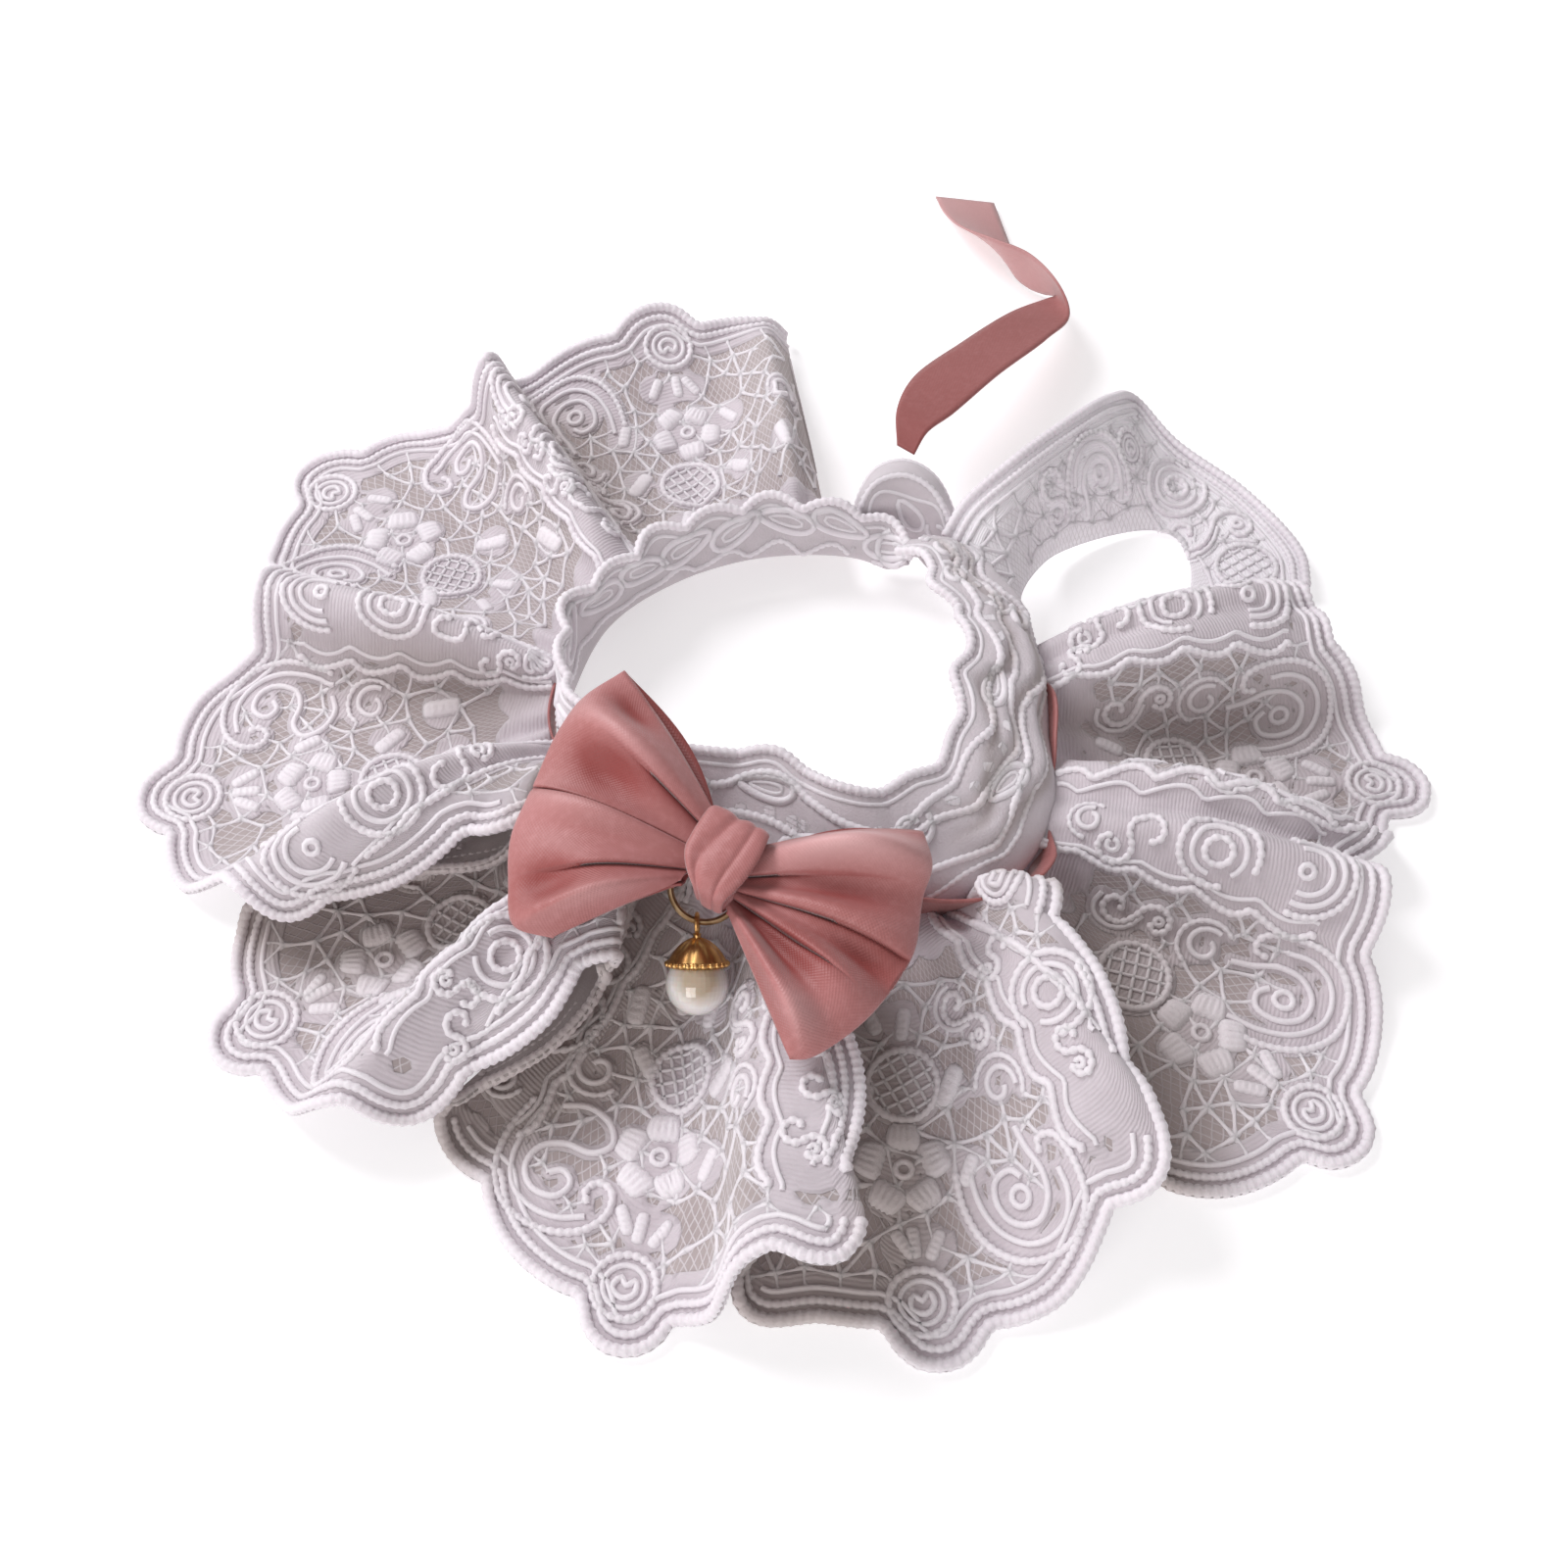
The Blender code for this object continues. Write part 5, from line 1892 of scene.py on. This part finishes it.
# Each satin finish: a deeper tone at random, its colour, a lighter tone for flecks and for the
# painted light on raised rolls, and the painted shade deep in the folds.
bow_satin = satin_finish("bow_satin", (0.40, 0.142, 0.135), (0.46, 0.180, 0.178),
                         (0.55, 0.245, 0.245), (0.26, 0.035, 0.03))
ribbon_satin = satin_finish("ribbon_satin", (0.33, 0.105, 0.098), (0.38, 0.135, 0.13),
                            (0.47, 0.19, 0.19), (0.24, 0.035, 0.03))
charm_gold = gold_finish("charm_gold", (0.90, 0.60, 0.24), (0.60, 0.31, 0.11), 0.24)
ring_gold = gold_finish("ring_gold", (0.62, 0.44, 0.26), (0.30, 0.19, 0.10), 0.26)

ruffle, hem_repeats, under_flap = ruffle_cloth()
lace = Lace(ruffle, hem_repeats, under_flap, 11)


def plain_field(column, row):
    """How far inside a plain field of the ruffle a place is, in millimetres."""
    distance = lace.from_hem[column, row]
    neck = lace.from_hem[column, 0] - distance
    beside = lace.counts[column] % 1.0 - 0.5
    wide = FIELD_HALF * (1.0 - 0.25 * min(distance / 60.0, 1.0))
    if lace.counts[column] > 10 and beside > 0:
        wide += BEHIND_CREST
    ridge = min((wide - abs(beside)) * REPEAT, distance - FIELD_FROM)
    return max(ridge, 8.0 + 2.6 * abs(math.sin(5 * math.pi * lace.counts[column])) - neck)


def field_borders(lace, repeats):
    """Stitched scallops along both sides of each plain field."""
    for k in repeats:
        for side in (-1, 1):
            path = []
            inside_path = []
            for step in range(64):
                distance = FIELD_FROM - 1.0 + 0.8 * step
                wave = abs(math.sin(math.pi * distance / 9.5))
                wide = FIELD_HALF * (1.0 - 0.25 * min(distance / 60.0, 1.0))
                wide += BEHIND_CREST if k > 9 and side > 0 else 0.0
                path.append((k + 0.5 + side * (wide + 0.026 * wave), distance))
                inside_path.append((k + 0.5 + side * (wide - 0.026 + 0.02 * wave), distance))
            lace.line_at(path, lace.stitched, 0.68, 1.4)
            lace.line_at(inside_path, lace.scrolls, 0.42)


lace.edge_cords(HEM_CORDS)
lace.least_step = 1.05
work_repeats(lace, 0, 12)
fill_crests(lace, 0, 12)
lace.least_step = 0.0
field_borders(lace, range(0, 12))
lace.add_net(3.7, 8.0, 9.0, plain=plain_field)
inside = lace.solid_cloth(GROUND_FILLS, plain_field)


def thinned(cloth, gap):
    """The cloth with fewer rows."""
    rows = sorted(set(range(0, cloth.rows, gap)) | {cloth.rows - 1})
    return Cloth(cloth.points[:, rows])


# The veil is a whole sheet under the ruffle's lace; its dark colour is painted shade seen through
# the open cells.
veil = cloth_piece("ruffle_veil", thinned(ruffle, 2), VEIL_WALL, lace_under, "collar",
                   ("lace_ruffle",), side=0.0)
ground = trimmed("ruffle_ground", ruffle, inside, SHEET_WALL, lace_fill, "collar")
on_ruffle = [
    ground,
    lace.borders.made("hem_cords", lace_cord, "collar", "lace"),
    lace.stitched.made("stitched_scrolls", lace_cord, "collar", "lace"),
    lace.scrolls.made("plain_scrolls", lace_cord, "collar", "lace"),
    lace.net.made("lace_net", lace_cord, "collar", "lace", sides=0),
    lace.pads.made("lace_petals", lace_cord, "collar", "lace"),
]


# The shades of the folds: the way to the window, how many ways are looked in and how far,
# the share of them that costs no light, how fast the shade grows, and its most.
TO_WINDOW = (-0.44, 0.46, 0.60)
SHADE_WAYS = 26
SHADE_REACH = 42.0
SHADE_FROM = 0.12
SHADE_GAIN = 2.4
SHADE_MOST = 0.80


def fold_shades(cloth):
    """How much of the light from the window each place of the cloth loses to its folds."""
    chance = random.Random(3)
    ways = []
    while len(ways) < SHADE_WAYS:
        way = Vector([chance.uniform(-1, 1) for _ in range(3)])
        if 0.1 < way.length < 1:
            way = (way.normalized() * 0.8 + Vector(TO_WINDOW)).normalized()
            if way.z > 0.12:
                ways.append(way)
    columns = list(range(0, cloth.columns, 4)) + [cloth.columns - 1]
    rows = list(range(0, cloth.rows, 3)) + [cloth.rows - 1]
    shades = np.zeros((len(columns), len(rows)))
    for i, column in enumerate(columns):
        for j, row in enumerate(rows):
            place = Vector(cloth.points[column, row])
            _, normal = cloth.nearest(place)
            if normal.z < 0:
                normal = -normal
            place = place + normal * 0.8
            hits = 0
            for way in ways:
                hit = cloth.tree.ray_cast(place, way, SHADE_REACH)
                hits += hit[0] is not None
            shades[i, j] = hits / len(ways)
    for _ in range(2):
        padded = np.pad(shades, 1, mode="edge")
        shades = (padded[:-2, 1:-1] + padded[2:, 1:-1] + padded[1:-1, :-2] + padded[1:-1, 2:]
                  + 2 * shades) / 6
    across_rows = np.array([np.interp(range(cloth.rows), rows, line) for line in shades])
    full = np.array([
        np.interp(range(cloth.columns), columns, line) for line in across_rows.T
    ]).T
    return np.clip((full - SHADE_FROM) * SHADE_GAIN, 0.0, SHADE_MOST)


def shade_pieces(cloth, shades, pieces):
    """Write the shades of the cloth's folds on the points of the pieces worked on it."""
    shades = np.array(shades).reshape(-1)
    flat = cloth.points.reshape(-1, 3)
    tree = tree_of(flat)
    for piece in pieces:
        values = [shades[tree.find(vertex.co / MM)[1]] for vertex in piece.data.vertices]
        layer = piece.data.attributes.new("shade", "FLOAT", "POINT")
        layer.data.foreach_set("value", values)


# The fold shades become painted shade in the colour of the ruffle's lace.
shade_pieces(ruffle, fold_shades(ruffle), [veil] + on_ruffle)


def even_counts(cloth, repeat):
    """Repeat counts along a cloth's outer edge, from its length."""
    return [at / repeat for at in lengths_along(cloth.edge())]


def cords_of(lace):
    """All the cords of a lace, its net's bars too, as those of one piece."""
    lace.borders.lines += lace.scrolls.lines + lace.stitched.lines + lace.net.lines
    return lace.borders


# ---------------------------------------------------------------- the frill
frill, frill_shades = frill_cloth()
frill_lace = Lace(frill, even_counts(frill, FRILL_REPEAT), [False] * frill.columns, 5, 0.0)
frill_lace.edge_cords(((0.5, 0.85, 1.3, 0.2), (2.4, 0.46, 0.0, 0.0)))
frill_length = frill_lace.counts[-1]
# first and last share of the frill, its layer or plain line, radius, spacing of the stitches
FRILL_LINES = (
    (0.00, 0.46, (9.6, 0.7, 1.0, 1.0), 0.62, 1.3),
    (0.56, 1.00, FRILL_LAYERS[0], 0.78, 1.3),
    (0.56, 1.00, FRILL_LAYERS[1], 0.74, 1.3),
    (0.46, 1.00, FRILL_LAYERS[2], 0.72, 1.3),
    (0.46, 1.00, (18.4, 0.5, 1.3, 2.2), 0.56, 1.3),
)
LOOP = drop_loop(10.0, 5.2, 0, -5.0, cord=0.72) + drop_loop(6.0, 2.2, 0, -3.0, cord=0.42)
FRILL_CURL = [(arc(0, 0, 3.5, -60, 300, last=1.2), 0.7, False, 0.0)]
for start, end, layer, radius, bump in FRILL_LINES:
    path = np.linspace(max(start * frill_length, 0.1), end * frill_length - 0.1, 260)
    path = [(at, layer_edge(layer, at)) for at in path]
    frill_lace.line_at(path, frill_lace.stitched if bump else frill_lace.scrolls, radius, bump)
for k in range(int(frill_length)):
    share = k / frill_length
    if share < 0.42:
        frill_lace.motif(LOOP, k + 0.5, 4.6, (14, -18, 168, 24)[k % 4], 1.05)
    elif share < 0.60:
        frill_lace.motif(LOOP, k + 0.5, 6.4, (6, 172, -8)[k % 3], 0.9)
        for side in (-0.22, 0.1, 0.36):
            frill_lace.leaf(k + 0.5 + side, 10.6, 80, 3.2, 1.9)
    else:
        for side in (0.0, 0.33, 0.66):
            between = layer_edge(FRILL_LAYERS[1], k + side) - 2.3
            frill_lace.leaf(k + side, between, 90 - 50 * (k % 2), 2.6, 1.6)
for share, distance, kind, turn, size in (
    (0.655, 12.6, "loop", 10, 1.15), (0.715, 7.6, "curl", 40, 1.0), (0.78, 13.0, "loop", 4, 0.9),
    (0.84, 8.0, "loop", 176, 0.9), (0.90, 12.8, "curl", 120, 0.9),
):
    shape = LOOP if kind == "loop" else FRILL_CURL
    frill_lace.motif(shape, share * frill_length, distance, turn, size)
for back, distance, size in (
    (0.5, 4.8, 1.1), (1.2, 5.0, 0.95), (0.7, 11.5, 0.9), (1.8, 9.0, 0.9),
):
    frill_lace.motif(FRILL_CURL, frill_length - back, distance, 60 * back, size)
frill_lace.motif(FRILL_CURL, 0.42, 4.6, 0, 1.1)
frill_ground = cloth_piece("frill_ground", frill, RIBBON_WALL, lace_smooth, "collar",
                           ("lace_frill",))
frill_cords = cords_of(frill_lace)
on_frill = [
    frill_cords.made("frill_cords", lace_cord, "collar", "lace"),
    frill_lace.pads.made("frill_petals", lace_cord, "collar", "lace"),
]

# The frill's hollows get painted shade in the colour of its lace.
shade_pieces(frill, frill_shades, [frill_ground] + on_frill)

# ---------------------------------------------------------------- the last pleat
end_loop = end_loop_cloth()
loop_lace = Lace(end_loop, even_counts(end_loop, REPEAT), [False] * end_loop.columns, 6)
loop_lace.edge_cords(HEM_CORDS)
LOOP_SHAPES = (
    # distance along the outer edge, distance from it, shape, turn, size
    (12, 12, "disc", 0, 1.0),
    (28, 13, "s_scroll", 20, 1.0),
    (46, 13, "concentric", 0, 1.0),
    (64, 12, "medallion", 0, 0.8),
    (76, 13, "u_scroll", 0, 0.8),
    (92, 12, "s_curl", 0, 1.0),
)
for along, distance, kind, turn, size in LOOP_SHAPES:
    loop_lace.motif(SHAPES[kind], along / REPEAT, distance, turn, size)
loop_lace.add_net(4.2, 7.0, 2.0)
# The end loop's veil and ground take the lighter finishes: painted light on its face that turns
# from the window.
end_loop_veil = cloth_piece("end_loop_veil", end_loop, VEIL_WALL, lace_dense, "collar",
                            ("lace_end_loop",))
inside = loop_lace.solid_cloth(GROUND_FILLS, lambda column, row: -9.0)
loop_cords = cords_of(loop_lace)
on_loop = [
    trimmed("end_loop_ground", end_loop, inside, SHEET_WALL, lace_bright, "collar"),
    loop_cords.made("end_loop_cords", lace_cord, "collar", "lace"),
]

# ---------------------------------------------------------------- the curl over the ribbon
end_curl = end_curl_cloth()
curl_lace = Lace(end_curl, even_counts(end_curl, 12.0), [False] * end_curl.columns, 8, 0.1)
curl_lace.edge_cords(((0.3, 0.6, 1.2, 0.16),))
middle = curl_lace.counts[-1] / 2
path = [(middle * k / 30, 5.6) for k in range(2, 59)]
curl_lace.line_at(path, curl_lace.stitched, 0.62, 1.3)
path = [(middle * k / 30, 8.4 + 1.2 * math.sin(k / 4)) for k in range(8, 53)]
curl_lace.line_at(path, curl_lace.scrolls, 0.5)
curl_lace.motif(drop_loop(7.0, 4.4, 60, -2.0, -3.0, cord=0.62), middle, 13.0)
curl_lace.motif([(arc(0, 0, 2.6, 20, 330, last=1.2), 0.6, False, 0.0)], middle * 0.55, 11.5)
curl_lace.motif([(arc(0, 0, 2.4, 200, -110, last=1.0), 0.6, False, 0.0)], middle * 1.45, 11.0)
end_curl_ground = cloth_piece("end_curl_ground", end_curl, SHEET_WALL, lace_smooth, "collar",
                              ("lace_end_curl",))
curl_cords = cords_of(curl_lace)
on_curl = [curl_cords.made("end_curl_cords", lace_cord, "collar", "lace")]

# ---------------------------------------------------------------- ribbon, tail and bow
neck_ribbon = cloth_piece("neck_ribbon", ribbon_neck_cloth(), RIBBON_WALL, ribbon_satin, "collar",
                          ("ribbon_neck",))
tail = tail_cloth()
# share of the way from the ribbon's free end, and the painted shading there: painted light below
# nought, painted shade above it
TAIL_PAINTED_SHADING = ((0, -0.7), (0.22, -0.5), (0.42, -0.5), (0.5, 0.1), (0.6, 0.3), (0.85, 0.4),
              (1, 0.8))
# painted light and shade along the tail, written as its fold attribute
tail_painted_shading = [
    looked_up(TAIL_PAINTED_SHADING, column / (tail.columns - 1))[0]
    for column in range(tail.columns) for _ in range(tail.rows)
]
tail_ribbon = cloth_piece("tail_ribbon", tail, RIBBON_WALL, ribbon_satin, "collar",
                          ("ribbon_tail",), tail_painted_shading)
# The wings get painted shade in their creases and on their back layers, and painted light on their
# raised rolls.
left_wing = cloth_piece("left_wing", wing_cloth(LEFT_WING, LEFT_CREASES, LEFT_DENTS), BOW_WALL,
                        bow_satin, "collar", ("bow_left",),
                        wing_folds(LEFT_WING, LEFT_CREASES, LEFT_DENTS))
right_wing = cloth_piece("right_wing", wing_cloth(RIGHT_WING, RIGHT_CREASES, RIGHT_DENTS), BOW_WALL,
                         bow_satin, "collar", ("bow_right",),
                         wing_folds(RIGHT_WING, RIGHT_CREASES, RIGHT_DENTS))
knot_band = cloth_piece("knot_band", knot_cloth(), BOW_WALL, bow_satin, "collar",
                        ("bow_knot",))

# ---------------------------------------------------------------- the charm
drop_axis = pearl_frame()


def on_cap(turn, rise, lift=0.0):
    """A place on the cap from its turn round the drop and its rise above the pearl's middle."""
    rise = math.radians(rise)
    reach = (CAP_OUTER + lift) * math.cos(rise) ** 0.8
    height = (CAP_OUTER + lift) * math.sin(rise) * (1 + (CAP_TOP / CAP_OUTER - 1) * rise / 1.57)
    return drop_axis @ Vector((reach * math.cos(turn), reach * math.sin(turn), height))


def cap_shell():
    """The acorn cap: a turned shell with pressed leaves, open below."""
    made = bmesh.new()
    around = 72
    outer = [CAP_RIM_RISE + (88 - CAP_RIM_RISE) * k / 18 for k in range(19)]
    rings = []
    for rise in outer:
        line = []
        for k in range(around):
            turn = math.tau * k / around
            leaf = abs(math.cos(4.5 * turn)) ** 0.6 * math.cos(math.radians(rise)) ** 0.5
            line.append(made.verts.new(on_cap(turn, rise, 0.24 * leaf) * MM))
        rings.append(line)
    inner_reach = CAP_OUTER - 0.2
    inside = []
    for rise in outer[::-1]:
        line = []
        for k in range(around):
            turn = math.tau * k / around
            place = Vector((
                inner_reach * math.cos(math.radians(rise)) * math.cos(turn),
                inner_reach * math.cos(math.radians(rise)) * math.sin(turn),
                inner_reach * math.sin(math.radians(rise)),
            ))
            line.append(made.verts.new((drop_axis @ place) * MM))
        inside.append(line)
    rings = inside + rings
    for low, high in zip(rings, rings[1:]):
        for k in range(around):
            made.faces.new((low[k], low[k - 1], high[k - 1], high[k]))
    made.faces.new(rings[0])
    made.faces.new(rings[-1][::-1])
    bmesh.ops.recalc_face_normals(made, faces=made.faces)
    mesh = bpy.data.meshes.new("gilt_cap")
    made.to_mesh(mesh)
    made.free()
    mesh.shade_smooth()
    return mesh


show("gilt_cap", cap_shell(), charm_gold, "drop", ("acorn_cap",))
cap_trim = Cords()
for k in range(9):
    turn = math.tau * k / 9
    cap_trim.add([on_cap(turn, 36 + 50 * j / 8, 0.04) for j in range(9)], 0.14)
cap_trim.add([on_cap(math.tau * k / 72, 34, 0.14) for k in range(72)], 0.2, True, 0.62, 0.4)
cap_trim.add([drop_axis @ Vector((0, 0, z)) for z in (6.4, 6.8, 7.2, 7.6)], 0.6)
cap_trim.made("cap_trim", charm_gold, "drop", "gold")


def cap_beads(count, radius):
    """A row of small beads round the rim of the cap."""
    made = bmesh.new()
    for k in range(count):
        place = on_cap(math.tau * k / count, CAP_RIM_RISE + 1, 0.1)
        bmesh.ops.create_icosphere(
            made, subdivisions=2, radius=radius * MM, matrix=Matrix.Translation(place * MM),
        )
    mesh = bpy.data.meshes.new("cap_beads")
    made.to_mesh(mesh)
    made.free()
    mesh.shade_smooth()
    return mesh


show("cap_beads", cap_beads(24, 0.48), charm_gold, "drop")
# The centre of the painted reflection of the gold cap on the pearl, beside the cap.
to_cap_reflection = Vector((0.12, -0.34, 0.90)).normalized() * PEARL_RADIUS
lustre = pearl_finish("pearl_lustre", (drop_axis.translation + to_cap_reflection) * MM)
for name, finish in (("pearl", lustre), ("charm_eye", charm_gold), ("jump_ring", ring_gold)):
    holder = bpy.data.objects[name]
    holder.data.materials.clear()
    holder.data.materials.append(finish)
